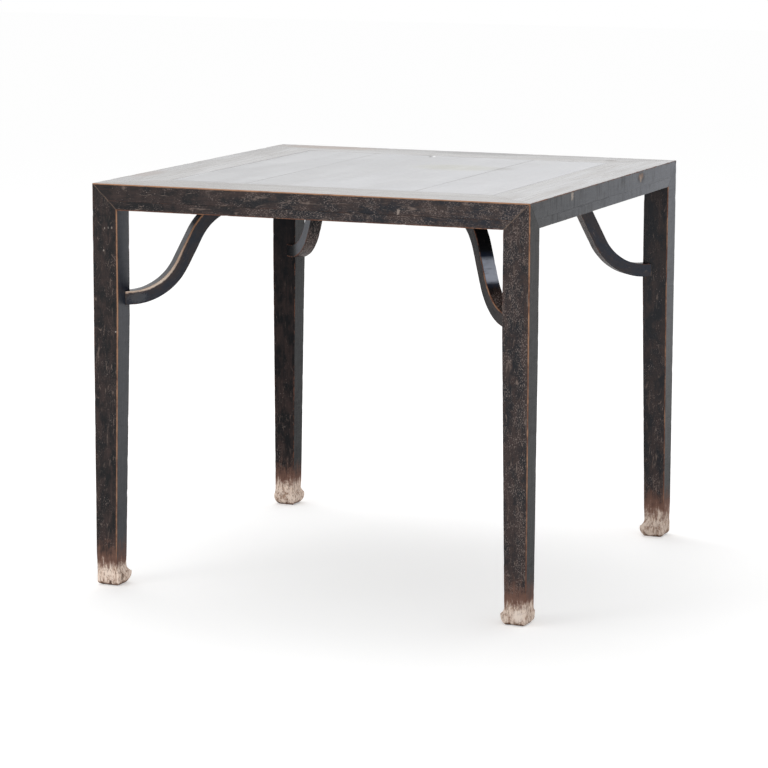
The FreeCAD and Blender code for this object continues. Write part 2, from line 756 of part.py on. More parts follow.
def main():
    sides = dict(zip(("front", "right", "back", "left"), CORNERS))
    lengths = {
        "front": S["table_width"], "back": S["table_width"],
        "left": S["table_depth"], "right": S["table_depth"],
    }
    for side, (_, side_x, side_y, turn) in sides.items():
        add_frame(f"frame_{side}", side_x, side_y, turn, lengths[side], side in ("left", "right"))
        add_apron(f"apron_{side}", side_x, side_y, turn, lengths[side])
    add_boards()
    add_batten("batten_front", -1)
    add_batten("batten_back", 1)
    for corner, side_x, side_y, turn in CORNERS:
        add_leg(f"leg_{corner}", side_x, side_y, turn)
        add_brace(f"brace_{corner}", side_x, side_y, turn)
        add_wedge(f"brace_wedge_{corner}", side_x, side_y, turn)
        add_pin(f"brace_pin_{corner}", side_x, side_y, turn)
    doc.recompute()
    check_model()
    os.makedirs("parts", exist_ok=True)
    for piece in pieces:
        piece.Shape.exportStep(f"parts/{piece.Label}.step")
    print(f"{len(pieces)} pieces written")


main()
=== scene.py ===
"""Eight immortals table: worn black lacquer on a square frame with legs flush to its rails.

Everything is in metres in the table's own frame: +Z up, the front of the table faces -Y,
and the origin lies on the floor under the middle of the top.
"""

import itertools
import logging
import math
from dataclasses import dataclass, field
from enum import Enum, IntEnum
from typing import Sequence

import bpy
import numpy as np
from mathutils import Matrix, Vector


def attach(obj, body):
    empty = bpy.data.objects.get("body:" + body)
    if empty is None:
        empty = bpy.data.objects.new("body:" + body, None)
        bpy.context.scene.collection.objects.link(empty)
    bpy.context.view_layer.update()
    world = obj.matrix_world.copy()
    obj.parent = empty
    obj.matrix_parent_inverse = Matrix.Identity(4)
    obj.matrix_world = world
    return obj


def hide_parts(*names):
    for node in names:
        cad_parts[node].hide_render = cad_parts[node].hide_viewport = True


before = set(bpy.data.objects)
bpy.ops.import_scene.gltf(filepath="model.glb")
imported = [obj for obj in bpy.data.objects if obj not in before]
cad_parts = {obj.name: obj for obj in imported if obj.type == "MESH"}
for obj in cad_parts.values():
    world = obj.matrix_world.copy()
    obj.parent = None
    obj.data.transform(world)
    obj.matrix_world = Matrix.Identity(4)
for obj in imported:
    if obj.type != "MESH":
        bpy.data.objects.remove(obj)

log = logging.getLogger("table")
MM = 0.001
Triple = tuple[float, float, float]
Colour = Triple


# ---------------------------------------------------------------- places on the table


class Quarter(Enum):
    """A quarter of the table: the side and the corner that are drawn from the same turn."""

    FRONT = ("front", "front_left", 0)
    RIGHT = ("right", "front_right", 1)
    BACK = ("back", "back_right", 2)
    LEFT = ("left", "back_left", 3)

    @property
    def side(self) -> str:
        """The name of the side that starts at this corner."""
        return self.value[0]

    @property
    def corner(self) -> str:
        """The name of the corner."""
        return self.value[1]

    @property
    def turns(self) -> int:
        """How many quarter turns, counter-clockwise from above, bring the front here."""
        return self.value[2]


def turned(points: np.ndarray, angle: float) -> np.ndarray:
    """Turn points about the upright axis.

    x' = x * cos(angle) - y * sin(angle), and y' = x * sin(angle) + y * cos(angle).

    Args:
        points: points, last axis x, y, z.
        angle: the turn in radians, counter-clockwise from above.

    Returns:
        The turned points.
    """
    cosine, sine = math.cos(angle), math.sin(angle)
    x = points[..., 0] * cosine - points[..., 1] * sine
    y = points[..., 0] * sine + points[..., 1] * cosine
    return np.stack([x, y, points[..., 2]], axis=-1)


@dataclass(frozen=True)
class TableSizes:
    """The sizes that more than one piece is made from, in metres."""

    half_width: float = 475 * MM
    height: float = 840 * MM
    frame_width: float = 120 * MM
    frame_thickness: float = 35 * MM
    board_thickness: float = 14 * MM
    apron_height: float = 19 * MM
    apron_thickness: float = 22 * MM
    leg_size: float = 56 * MM
    ankle_size: float = 46.5 * MM
    ankle_height: float = 38 * MM
    batten_height: float = 21 * MM
    brace_drop: float = 218 * MM
    wedge_room: float = 10.4 * MM

    @property
    def frame_bottom(self) -> float:
        """Height of the underside of the top frame."""
        return self.height - self.frame_thickness

    @property
    def rail_bottom(self) -> float:
        """Height of the underside of the aprons."""
        return self.frame_bottom - self.apron_height

    @property
    def brace_top(self) -> float:
        """Height of the underside of the battens, where the braces end."""
        return self.height - self.board_thickness - self.batten_height

    @property
    def brace_foot(self) -> float:
        """Height of the lower edge of a brace where it meets its leg."""
        return self.brace_top - self.brace_drop

    @property
    def taper_start(self) -> float:
        """Height at which a leg starts to taper, just under the wedge of its brace."""
        return self.brace_foot - self.wedge_room

    @property
    def mitre_run(self) -> float:
        """How far the mitre on a face runs along the table for each metre that it falls."""
        return self.leg_size / (self.frame_thickness + self.apron_height)

    def from_corner(self, local: np.ndarray, quarter: Quarter, swing: float = 0.0) -> np.ndarray:
        """Place points drawn from an outer corner: x along the side, y inwards, z up.

        Args:
            local: points, last axis x, y, z.
            quarter: the corner they are drawn from.
            swing: a further turn about the corner's upright edge, in radians.

        Returns:
            The points in the table's frame.
        """
        turn = quarter.turns * math.pi / 2
        corner = turned(np.array([-self.half_width, -self.half_width, 0.0]), turn)
        return turned(local, turn + swing) + corner


SIZES = TableSizes()
# distance square to a mitre for each metre along its bar
MITRE_SLANT = 0.7


class Seed(IntEnum):
    """The first seed of each kind of wear; a piece adds its own number to it."""

    PLANK = 10
    APRON = 20
    BOARD = 30
    BATTEN = 40
    LEG = 50
    FOOT = 60
    BRACE = 70


# ---------------------------------------------------------------- surfaces


class WearNoise:
    """Smooth random values over space, read from a seeded lattice of random numbers."""

    CELLS = 32

    def __init__(self, seed: int) -> None:
        """Fill the lattice.

        Args:
            seed: the same seed always gives the same values.
        """
        self.lattice = np.random.default_rng(seed).random((self.CELLS,) * 3) * 2 - 1

    def at(self, points: np.ndarray, cell: float | Sequence[float]) -> np.ndarray:
        """Values between -1 and 1: the eight lattice numbers round a point, blended smoothly.

        Args:
            points: places in metres, last axis x, y, z.
            cell: size of a lattice cell in metres, one number or one for each axis.

        Returns:
            One value for each point.
        """
        place = points / np.asarray(cell, dtype=float)
        low = np.floor(place).astype(int)
        part = place - low
        part = part * part * (3 - 2 * part)
        total = np.zeros(points.shape[:-1])
        for step in itertools.product((0, 1), repeat=3):
            weight = np.prod(np.where(np.array(step) == 1, part, 1 - part), axis=-1)
            index = (low + np.array(step)) % self.CELLS
            total += weight * self.lattice[index[..., 0], index[..., 1], index[..., 2]]
        return total


@dataclass(frozen=True)
class Arris:
    """One corner of a bar's section: its place, its rounding and how rubbed it is.

    A corner with no rub lies in a joint, against another piece.
    """

    x: float
    y: float
    radius: float = 1.5 * MM
    rub: float = 0.5


@dataclass
class Section:
    """The closed outline of a bar's section, counter-clockwise, as arrays of points."""

    points: np.ndarray
    normals: np.ndarray
    edge: np.ndarray
    rub: np.ndarray
    seam: np.ndarray

    # stands for no such edge or seam nearby, in metres
    FAR = 1.0
    # distance from an arc to the point that keeps the side flat beyond it
    SUPPORT = 0.6 * MM
    ARC_POINTS = 5

    @classmethod
    def from_corners(cls, corners: Sequence[Arris], spacing: float = 5 * MM) -> "Section":
        """Round each corner and divide the straight sides evenly.

        A corner becomes an arc that touches both its sides: its centre lies a radius off
        each side, and its ends lie r * tan(half the turn) from the corner. A side holds a
        point close to either arc, to keep it flat in between, and others at the spacing or
        less.

        Args:
            corners: the corners in counter-clockwise order.
            spacing: largest distance between two points of a side, in metres.

        Returns:
            The outline with its normals, its distances to the nearest free corner and to the
            nearest corner in a joint, and the rub of that free corner.
        """
        places = np.array([(corner.x, corner.y) for corner in corners])
        ahead = np.roll(places, -1, axis=0) - places
        lengths = np.linalg.norm(ahead, axis=1)
        ahead /= lengths[:, None]
        behind = np.roll(ahead, 1, axis=0)
        turning = behind[:, 0] * ahead[:, 1] - behind[:, 1] * ahead[:, 0]
        swing = np.arctan2(turning, (behind * ahead).sum(axis=1))
        tangents = np.array([corner.radius for corner in corners]) * np.abs(np.tan(swing / 2))
        # what each corner adds to a distance from it: FAR where it isn't an edge, or a seam
        no_edge = [cls.FAR if corner.rub == 0 else 0.0 for corner in corners]
        no_seam = [0.0 if corner.rub == 0 else cls.FAR for corner in corners]
        fan = np.linspace(0, 1, cls.ARC_POINTS)
        points, normals, edges, rubs, seams = [], [], [], [], []
        for k, corner in enumerate(corners):
            following = (k + 1) % len(corners)
            side = math.copysign(1.0, swing[k])
            outward = np.array([behind[k, 1], -behind[k, 0]])
            centre = places[k] - behind[k] * tangents[k] - outward * side * corner.radius
            angles = math.atan2(outward[1], outward[0]) + swing[k] * fan
            arc_normals = np.stack([np.cos(angles), np.sin(angles)], axis=1)
            points.append(centre + arc_normals * side * corner.radius)
            normals.append(arc_normals)
            edges.append(np.full(len(angles), no_edge[k]))
            seams.append(np.full(len(angles), no_seam[k]))
            rubs.append(np.full(len(angles), corner.rub))

            start = places[k] + ahead[k] * tangents[k]
            straight = lengths[k] - tangents[k] - tangents[following]
            support = min(cls.SUPPORT, straight / 4)
            count = max(2, math.ceil((straight - 2 * support) / spacing) + 1)
            along = np.linspace(support, straight - support, count)
            points.append(start + along[:, None] * ahead[k])
            normals.append(np.tile([ahead[k, 1], -ahead[k, 0]], (count, 1)))
            back = straight - along
            here, there = along + no_edge[k], back + no_edge[following]
            edges.append(np.minimum(here, there))
            rubs.append(np.where(here < there, corner.rub, corners[following].rub))
            seams.append(np.minimum(along + no_seam[k], back + no_seam[following]))
        return cls(*(np.concatenate(part) for part in (points, normals, edges, rubs, seams)))


def stations(length: float, step: float, rounding: float) -> np.ndarray:
    """Places along a bar, close together over its rounded ends.

    Args:
        length: length of the bar.
        step: distance between two places away from the ends.
        rounding: radius of the ends' rounding.

    Returns:
        Fractions of the length, rising from 0 to 1.
    """
    ends = np.append(np.array([0.0, 0.12, 0.4, 1.0]) * rounding,
                     rounding + np.array([0.6, 2.0]) * MM)
    count = max(2, math.ceil((length - 2 * ends[-1]) / step) + 1)
    middle = np.linspace(ends[-1], length - ends[-1], count)[1:-1]
    return np.concatenate([ends, middle, (length - ends)[::-1]]) / length


def drawn_in(distance: np.ndarray, radius: float) -> np.ndarray:
    """How far a rounded end draws a surface in: r - sqrt(r^2 - (r - d)^2) up to d = r.

    Args:
        distance: the distance d from the end, in metres.
        radius: the rounding r.

    Returns:
        The depth, 0 from a radius on.
    """
    short = np.clip(radius - distance, 0, radius)
    return radius - np.sqrt(np.clip(radius**2 - short**2, 0, None))


@dataclass(frozen=True)
class Look:
    """How the lacquer of one face has aged, each from 0 up; 1 is plain to see.

    Flecks are spots where it has lifted, gloss is what polish it keeps and how much painted
    sheen and painted reflection its colour gets, and strokes are the marks of a brush or plane
    across the bar.
    """

    flecks: float = 0.5
    gloss: float = 0.3
    strokes: float = 0.2


@dataclass
class Skin:
    """The closed surface of a bar: rings of points round it, from one end to the other."""

    points: np.ndarray
    normals: np.ndarray
    edge: np.ndarray
    rub: np.ndarray
    seam: np.ndarray
    grain: np.ndarray
    look: np.ndarray | None = None

    # size of the waves along, across and off the bar, of the dents, and the dents' reach
    WAVE_CELL = (0.11, 0.03, 0.03)
    DENT_CELL = (0.012, 0.006, 0.006)
    DENT_REACH = 2.5 * MM
    # dents shallower than this part of the noise are left out
    DENT_LIMIT = 0.15

    @classmethod
    def along(
        cls,
        section: Section,
        places: np.ndarray,
        start: np.ndarray,
        end: np.ndarray,
        rounding: float = 0.6 * MM,
        slant: float = 1.0,
    ) -> "Skin":
        """Carry a section along x: each of its points runs from its own start to its own end.

        x = start + place * (end - start). Near an end the section draws in round a quarter
        circle.
        Every end lies in a joint, so the distance from it counts as distance from a seam.

        Args:
            section: the outline across the bar; its x and y become y and z.
            places: fractions from 0 to 1 where a ring stands.
            start: where each point of the outline starts, in metres.
            end: where each point of the outline ends.
            rounding: radius of the ends' rounding, in metres.
            slant: distance square to the end's edge for a metre along x, for a mitred end.

        Returns:
            The surface in the bar's own axes.
        """
        run = end - start
        x = start + places[:, None] * run
        from_end = np.minimum(places, 1 - places)[:, None] * run
        depth = drawn_in(from_end, rounding)
        flat = section.points[None] - section.normals[None] * depth[..., None]
        normals = np.zeros(x.shape + (3,))
        normals[..., 1:] = section.normals
        points = np.concatenate([x[..., None], flat], axis=-1)
        edge, rub = (np.broadcast_to(value, x.shape) for value in (section.edge, section.rub))
        seam = np.minimum(section.seam[None], np.clip(from_end * slant - rounding, 0, None))
        return cls(points, normals, edge, rub, seam, points.copy())

    def age(self, faces: Sequence[Look], far: Sequence[Look] | None = None) -> None:
        """Blend the looks of the four faces by the squares of the section's normal.

        Along the bar they pass evenly from the looks at its start to those at its end.

        Args:
            faces: looks of the faces towards -y, +x, +y and -x of the section.
            far: the same at the bar's end, or nothing where they stay alike.
        """
        across, off = self.normals[..., 1], self.normals[..., 2]
        towards = np.clip(np.stack([-off, across, off, -across], axis=-1), 0, None) ** 2
        near, end = (
            towards @ np.array([(face.flecks, face.gloss, face.strokes) for face in looks])
            for looks in (faces, far or faces)
        )
        x = self.points[..., 0]
        part = ((x - x.min()) / np.ptp(x))[..., None]
        self.look = near * (1 - part) + end * part

    def shift_grain(self, along: float, across: float, off: float) -> None:
        """Move the pattern on the surface, in metres, so that no two pieces look alike."""
        self.grain = self.grain + np.array([along, across, off])

    def wear(self, noise: WearNoise, wave: float = 0.3 * MM, dents: float = 0.9 * MM) -> None:
        """Draw the surface in: long shallow waves everywhere, and dents along the edges.

        The depth is wave * (1 + n1) / 2 + dents * max(0, n2 - limit) * exp(-edge / reach),
        where n1 is a broad noise drawn out along the bar and n2 a small one. An edge with a
        rub of -0.5 has no dents, and from 0.5 up they are full.

        Args:
            noise: random values.
            wave: depth of the waves in metres.
            dents: depth of the dents in metres.
        """
        broad = noise.at(self.grain + 0.37, self.WAVE_CELL)
        small = noise.at(self.grain + 1.91, self.DENT_CELL)
        depth = wave * (1 + broad) / 2
        dents = dents * np.clip(self.rub + 0.5, 0, 1) * np.exp(-self.edge / self.DENT_REACH)
        depth = depth + dents * np.clip(small - self.DENT_LIMIT, 0, None)
        self.points = self.points - self.normals * depth[..., None]

    def stand_up(self) -> None:
        """Turn the surface up: its x becomes z, and the section lies in x and y."""
        self.points = np.roll(self.points, -1, axis=-1)
        self.normals = np.roll(self.normals, -1, axis=-1)

    def make(self, name: str, foot: np.ndarray | None = None) -> bpy.types.Object:
        """Put the surface into a mesh, with an end face on each end.

        Quads join each ring to the next. The mesh carries what its finish reads: "worn"
        (distance to the nearest edge, its rub, distance to the nearest seam), "look" (flecks,
        gloss, strokes), "grain" (place along and across the bar) and "foot" (0 away from a
        foot, up to 1 on the floor). Distances are in metres.

        Args:
            name: name of the piece.
            foot: how deep in a foot each point is, or nothing for a piece without one.

        Returns:
            The new object.
        """
        rings, around = self.points.shape[:2]
        ring = np.arange(rings * around).reshape(rings, around)
        onward = np.roll(ring, -1, axis=1)
        quads = np.stack([ring[:-1], onward[:-1], onward[1:], ring[1:]], axis=-1).reshape(-1, 4)
        vertices = self.points.reshape(-1, 3)
        faces = quads.tolist() + [ring[0][::-1].tolist(), ring[-1].tolist()]
        corners = vertices[quads]
        volume = np.einsum(
            "ij,ij->i", corners[:, 0] - vertices.mean(axis=0),
            np.cross(corners[:, 2] - corners[:, 0], corners[:, 3] - corners[:, 1]),
        ).sum()
        if volume < 0:
            faces = [face[::-1] for face in faces]
        mesh = bpy.data.meshes.new(name)
        mesh.from_pydata(vertices.tolist(), [], faces)
        if self.look is None:
            self.age([Look()] * 4)
        worn = np.stack([self.edge, self.rub, self.seam], axis=-1)
        for label, values in (("worn", worn), ("look", self.look), ("grain", self.grain)):
            layer = mesh.attributes.new(label, "FLOAT_VECTOR", "POINT")
            layer.data.foreach_set("vector", values.reshape(-1).astype(np.float32))
        depths = np.zeros(self.edge.shape) if foot is None else foot
        layer = mesh.attributes.new("foot", "FLOAT", "POINT")
        layer.data.foreach_set("value", depths.reshape(-1).astype(np.float32))
        mesh.polygons.foreach_set("use_smooth", np.arange(len(faces)) < len(quads))
        mesh.update()
        piece = bpy.data.objects.new(name, mesh)
        bpy.context.scene.collection.objects.link(piece)
        return piece


# ---------------------------------------------------------------- shader nodes

Socket = bpy.types.NodeSocket
Sockets = bpy.types.NodeOutputs
Tree = bpy.types.NodeTree


class Nodes:
    """Adds nodes to one tree and joins them."""

    def __init__(self, tree: Tree) -> None:
        """Start with an empty tree.

        Args:
            tree: the material's or group's tree.
        """
        self.tree = tree
        tree.nodes.clear()

    def add(self, kind: str, inputs: dict | None = None, **settings: object) -> bpy.types.Node:
        """Add one node, set its properties, and set or join its inputs.

        Args:
            kind: the node's type, without the leading "ShaderNode".
            inputs: socket name or number to a value or to another node's output.
            settings: properties of the node.

        Returns:
            The node.
        """
        node = self.tree.nodes.new(kind if kind.startswith("Node") else f"ShaderNode{kind}")
        for name, value in settings.items():
            setattr(node, name, value)
        for key, value in (inputs or {}).items():
            if isinstance(value, Socket):
                self.tree.links.new(value, node.inputs[key])
            else:
                node.inputs[key].default_value = value
        return node

    def group(self, tree: Tree, inputs: dict) -> Sockets:
        """Place a node group with its own values, and return its outputs."""
        return self.add("Group", inputs, node_tree=tree).outputs

    def math(self, operation: str, a: object, b: object = 0.0, clamp: bool = False) -> Socket:
        """One arithmetic step on two values."""
        return self.add("Math", {0: a, 1: b}, operation=operation, use_clamp=clamp).outputs[0]

    def times(self, value: object, *factors: object) -> Socket:
        """A value times each factor in turn.

        Args:
            value: the first value.
            factors: what it is multiplied by.

        Returns:
            The product.
        """
        for factor in factors:
            value = self.math("MULTIPLY", value, factor)
        return value

    def plus(self, a: object, b: object) -> Socket:
        """The sum of two values."""
        return self.math("ADD", a, b)

    def minus(self, value: object, *parts: object) -> Socket:
        """A value less each part in turn.

        Args:
            value: the first value.
            parts: what is taken from it.

        Returns:
            What is left.
        """
        for part in parts:
            value = self.math("SUBTRACT", value, part)
        return value

    def larger(self, a: object, b: object) -> Socket:
        """The larger of two values."""
        return self.math("MAXIMUM", a, b)

    def size_of(self, value: object) -> Socket:
        """A value without its sign."""
        return self.math("ABSOLUTE", value)

    def step(self, value: object, low: object, high: object) -> Socket:
        """A smooth rise from 0 at low to 1 at high; it falls where low is above high."""
        inputs = {"Value": value, "From Min": low, "From Max": high}
        return self.add("MapRange", inputs, interpolation_type="SMOOTHSTEP").outputs["Result"]

    def span(self, value: object, low: object, high: object) -> Socket:
        """Stretch a value that runs from 0 to 1 so that it runs from low to high."""
        inputs = {"Value": value, "To Min": low, "To Max": high}
        return self.add("MapRange", inputs).outputs["Result"]

    def mix(self, mask: object, below: object, above: object) -> Socket:
        """Lay one colour over another by a mask.

        Args:
            mask: 0 for the colour below and 1 for the one above.
            below: the colour below.
            above: the colour above.

        Returns:
            The colour between them.
        """
        below, above = ((*c, 1.0) if isinstance(c, tuple) else c for c in (below, above))
        inputs = {0: mask, 6: below, 7: above}
        return self.add("Mix", inputs, data_type="RGBA", clamp_factor=True).outputs[2]

    def noise(
        self,
        place: Socket,
        scale: object,
        detail: float = 4.0,
        roughness: float = 0.7,
        distortion: float = 0.0,
        stretch: Triple | None = None,
        shift: Triple = (0.0, 0.0, 0.0),
    ) -> Socket:
        """Smooth noise, mostly between 0.3 and 0.7.

        Args:
            place: where it is read.
            scale: how fine it is.
            detail: how many finer layers lie on it.
            roughness: how strong each finer layer is.
            distortion: how far it is bent out of shape.
            stretch: a factor for each axis; a small one draws the noise out along it.
            shift: moves a stretched noise, so that no two fall together.

        Returns:
            The noise.
        """
        if stretch is not None:
            moved = {"Vector": place, "Scale": stretch, "Location": shift}
            place = self.add("Mapping", moved).outputs["Vector"]
        inputs = {"Vector": place, "Scale": scale, "Detail": detail, "Roughness": roughness,
                  "Distortion": distortion}
        return self.add("TexNoise", inputs).outputs["Fac"]

    def graded(self, colour: Socket, place: Socket, slope: Triple) -> Socket:
        """Make a colour lighter or darker evenly across the table: times 1 + slope . place.

        Args:
            colour: the colour at the origin.
            place: where the point is, in metres.
            slope: change of brightness for a metre along each axis.

        Returns:
            The colour at that place.
        """
        across = self.add("VectorMath", {0: place, 1: slope}, operation="DOT_PRODUCT")
        inputs = {0: colour, "Scale": self.plus(across.outputs["Value"], 1.0)}
        return self.add("VectorMath", inputs, operation="SCALE").outputs[0]

    def axes(self, vector: Socket) -> Sockets:
        """The x, y and z of a vector."""
        return self.add("SeparateXYZ", {0: vector}).outputs

    def attribute(self, name: str, output: str = "Vector") -> Socket:
        """What the piece carries under a name."""
        return self.add("Attribute", attribute_name=name).outputs[output]

    def place(self) -> Socket:
        """Where the point is, in metres."""
        return self.add("TexCoord").outputs["Object"]

    def facing_up(self) -> Socket:
        """How far the surface faces up: 1 straight up, -1 straight down."""
        return self.axes(self.add("NewGeometry").outputs["Normal"])["Z"]

    def seen(self) -> Socket:
        """Whether something is looked at, or only lights the scene.

        Returns:
            1 for what the camera sees, straight, in a reflection or through glass, else 0.
        """
        rays = self.add("LightPath").outputs
        unbroken = self.larger(rays["Is Camera Ray"], rays["Is Glossy Ray"])
        return self.larger(unbroken, rays["Is Transmission Ray"])

    def surface(self, relief: Socket, depth: float, strength: float, inputs: dict) -> None:
        """End a material in its shader, over a bump.

        Args:
            relief: height of the surface, from 0 to 1.
            depth: what a relief of 1 stands for, in metres.
            strength: how strongly the bump shows.
            inputs: the shader's other inputs.
        """
        bump = self.add("Bump", {"Strength": strength, "Distance": depth, "Height": relief})
        shader = self.add("BsdfPrincipled", {"Normal": bump.outputs[0], **inputs})
        self.add("OutputMaterial", {"Surface": shader.outputs[0]})


def new_material(name: str) -> tuple[bpy.types.Material, Nodes]:
    """Make a material with an empty tree.

    Args:
        name: the material's name.

    Returns:
        The material, and the nodes to fill it with.
    """
    material = bpy.data.materials.new(name)
    material.use_nodes = True
    return material, Nodes(material.node_tree)


class GroupMaker:
    """Builds one shader node group: its sockets, and what joins them."""

    def __init__(self, name: str, inputs: dict[str, object], outputs: Sequence[str]) -> None:
        """Make the group and its sockets.

        Args:
            name: the group's name.
            inputs: input name to its value; None stands for a vector.
            outputs: names of the values it gives.
        """
        self.tree = bpy.data.node_groups.new(name, "ShaderNodeTree")
        self.nodes = Nodes(self.tree)
        for label, value in inputs.items():
            kind = "NodeSocketVector" if value is None else "NodeSocketFloat"
            socket = self.tree.interface.new_socket(label, in_out="INPUT", socket_type=kind)
            if value is not None:
                socket.default_value = value
        for label in outputs:
            self.tree.interface.new_socket(label, in_out="OUTPUT", socket_type="NodeSocketFloat")
        self.given = self.nodes.add("NodeGroupInput").outputs
        self.result = self.nodes.add("NodeGroupOutput").inputs

    def give(self, **values: Socket) -> Tree:
        """Join the group's outputs.

        Args:
            values: output name to what it gives.

        Returns:
            The group's tree.
        """
        for label, value in values.items():
            self.tree.links.new(value, self.result[label])
        return self.tree


@dataclass(frozen=True)
class Mark:
    """One knot, chip or stain: where it is, half its sizes, its turn and its colour."""

    centre: Triple
    sizes: Triple
    colour: Colour
    strength: float = 0.8
    turn: float = 0.0


@dataclass(frozen=True)
class Effects:
    """The effects that several finishes share, each a node group."""

    grain: Tree
    rub: Tree
    flecks: Tree
    bleach: Tree
    strokes: Tree
    spot: Tree

    @classmethod
    def build(cls) -> "Effects":
        """Build every group once.

        Returns:
            The effects.
        """
        return cls(
            cls.build_grain(), cls.build_rub(), cls.build_flecks(), cls.build_bleach(),
            cls.build_strokes(), cls.build_spot(),
        )

    def marks(self, n: Nodes, body: Socket, place: Socket,
              marks: Sequence[Mark]) -> tuple[Socket, Socket]:
        """Lay single marks over a colour, one after the other.

        Args:
            n: the tree that they go in.
            body: the colour so far.
            place: where a point is, in metres.
            marks: the marks.

        Returns:
            The colour with its marks, and where they lie.
        """
        marked = 0.0
        for mark in marks:
            inputs = {"Place": place, "Centre": mark.centre, "Sizes": mark.sizes, "Turn": mark.turn}
            mask = n.times(n.group(self.spot, inputs)["Mask"], mark.strength)
            body = n.mix(mask, body, mark.colour)
            marked = n.larger(marked, mask)
        return body, marked

    @staticmethod
    def patches(n: Nodes, place: Socket) -> Socket:
        """Broad patches a hand wide, from 0 to 1, where a polish has kept or gone dull."""
        return n.step(n.noise(place, 9, roughness=0.6), 0.35, 0.65)

    @staticmethod
    def build_grain() -> Tree:
        """Fibres along the bar: noise stretched along its length, fine over broad.

        Returns:
            The group: Fibres and the broader Figure, from 0 to 1.
        """
        maker = GroupMaker("wood_grain", {"Along": None, "Fineness": 260.0}, ("Fibres", "Figure"))
        n, along, fineness = maker.nodes, maker.given["Along"], maker.given["Fineness"]
        fibres = n.noise(along, fineness, detail=5, roughness=0.62, distortion=0.3,
                         stretch=(0.035, 1, 1))
        figure = n.noise(along, n.times(fineness, 0.12), roughness=0.6, distortion=1.1,
                         stretch=(0.09, 1, 1), shift=(3, 1, 7))
        return maker.give(Fibres=n.step(fibres, 0.32, 0.68), Figure=n.step(figure, 0.3, 0.7))

    @staticmethod
    def build_rub() -> Tree:
        """Edges rubbed through: wood on the arris, a darker fringe, and how fresh the rub is.

        The bare wood reaches width * (1.1 * rub + 0.3) from the edge, times two noises. A
        hard-rubbed edge is bare all along, and a lightly rubbed one only here and there.

        Returns:
            The group: Bare and Fringe, from 0 to 1, and Fresh, 1 where the wood is pale.
        """
        maker = GroupMaker(
            "rubbed_edges", {"Along": None, "Edge": 1.0, "Rub": 0.5, "Width": 0.0011},
            ("Bare", "Fringe", "Fresh"),
        )
        n = maker.nodes
        along, edge, rub, width = (maker.given[name] for name in ("Along", "Edge", "Rub", "Width"))
        patches = n.noise(along, 30, roughness=0.65)
        nibbles = n.noise(along, 300, detail=3, roughness=0.6, stretch=(0.5, 1, 1))
        reach = n.times(width, n.span(patches, 0.1, 1.9), n.span(nibbles, 0.2, 1.8),
                        n.plus(n.times(rub, 1.1), 0.3))
        bare = n.step(edge, reach, n.times(reach, 0.3))
        fringe = n.step(edge, n.times(reach, 3.0), 0.0)
        broken = n.plus(n.plus(rub, n.span(nibbles, -0.5, 0.5)), n.span(patches, -0.5, 0.5))
        shown = n.step(broken, 0.2, 0.5)
        lively = n.noise(along, 55, stretch=(0.6, 1, 1), shift=(2, 9, 4))
        fresh = n.step(n.plus(rub, n.span(lively, -0.9, 0.9)), 0.35, 1.0)
        return maker.give(Bare=n.times(bare, shown), Fringe=n.times(fringe, shown), Fresh=fresh)

    @staticmethod
    def build_flecks() -> Tree:
        """Lacquer that has lifted: soft brown patches, lines of the figure and pale chips.

        Brown and pale show where a fine noise passes a limit that falls as the amount grows.
        The lines are the level curves of a noise drawn out along the bar, so that they close
        into long ovals as the figure of the wood does: 17 of them from its 0 to its 1.

        Returns:
            The group: Haze, Brown, Line and Pale, from 0 to 1.
        """
        maker = GroupMaker(
            "lifted_lacquer", {"Along": None, "Amount": 0.5}, ("Haze", "Brown", "Line", "Pale")
        )
        n, along = maker.nodes, maker.given["Along"]
        haze = n.noise(along, 45, detail=5, stretch=(0.5, 1, 1), shift=(8, 3, 3))
        crowd = n.step(n.noise(along, 36, detail=5, stretch=(0.7, 1, 1)), 0.34, 0.66)
        amount = n.times(maker.given["Amount"], n.span(crowd, 0.5, 1.25))
        fine = n.noise(along, 600, detail=3, roughness=0.6, distortion=0.1, stretch=(0.45, 1, 1))
        limit = n.span(amount, 0.74, 0.515)
        brown = n.step(fine, limit, n.plus(limit, 0.12))
        field = n.noise(along, 20, detail=2, roughness=0.5, distortion=0.2,
                        stretch=(0.17, 1, 1), shift=(4, 1, 6))
        level = n.math("FRACT", n.times(field, 17))
        line = n.step(n.size_of(n.minus(level, 0.5)), 0.13, 0.02)
        worn_through = n.noise(along, 120, roughness=0.65, stretch=(0.3, 1, 1), shift=(1, 7, 2))
        line = n.times(line, n.step(worn_through, 0.5, 0.62), n.step(amount, 0.15, 0.8))
        specks = n.noise(along, 430, detail=3, stretch=(0.7, 1, 1), shift=(11, 5, 2))
        limit = n.span(amount, 0.84, 0.595)
        pale = n.step(specks, limit, n.plus(limit, 0.06))
        return maker.give(Haze=n.step(haze, 0.38, 0.62), Brown=brown, Line=line, Pale=pale)

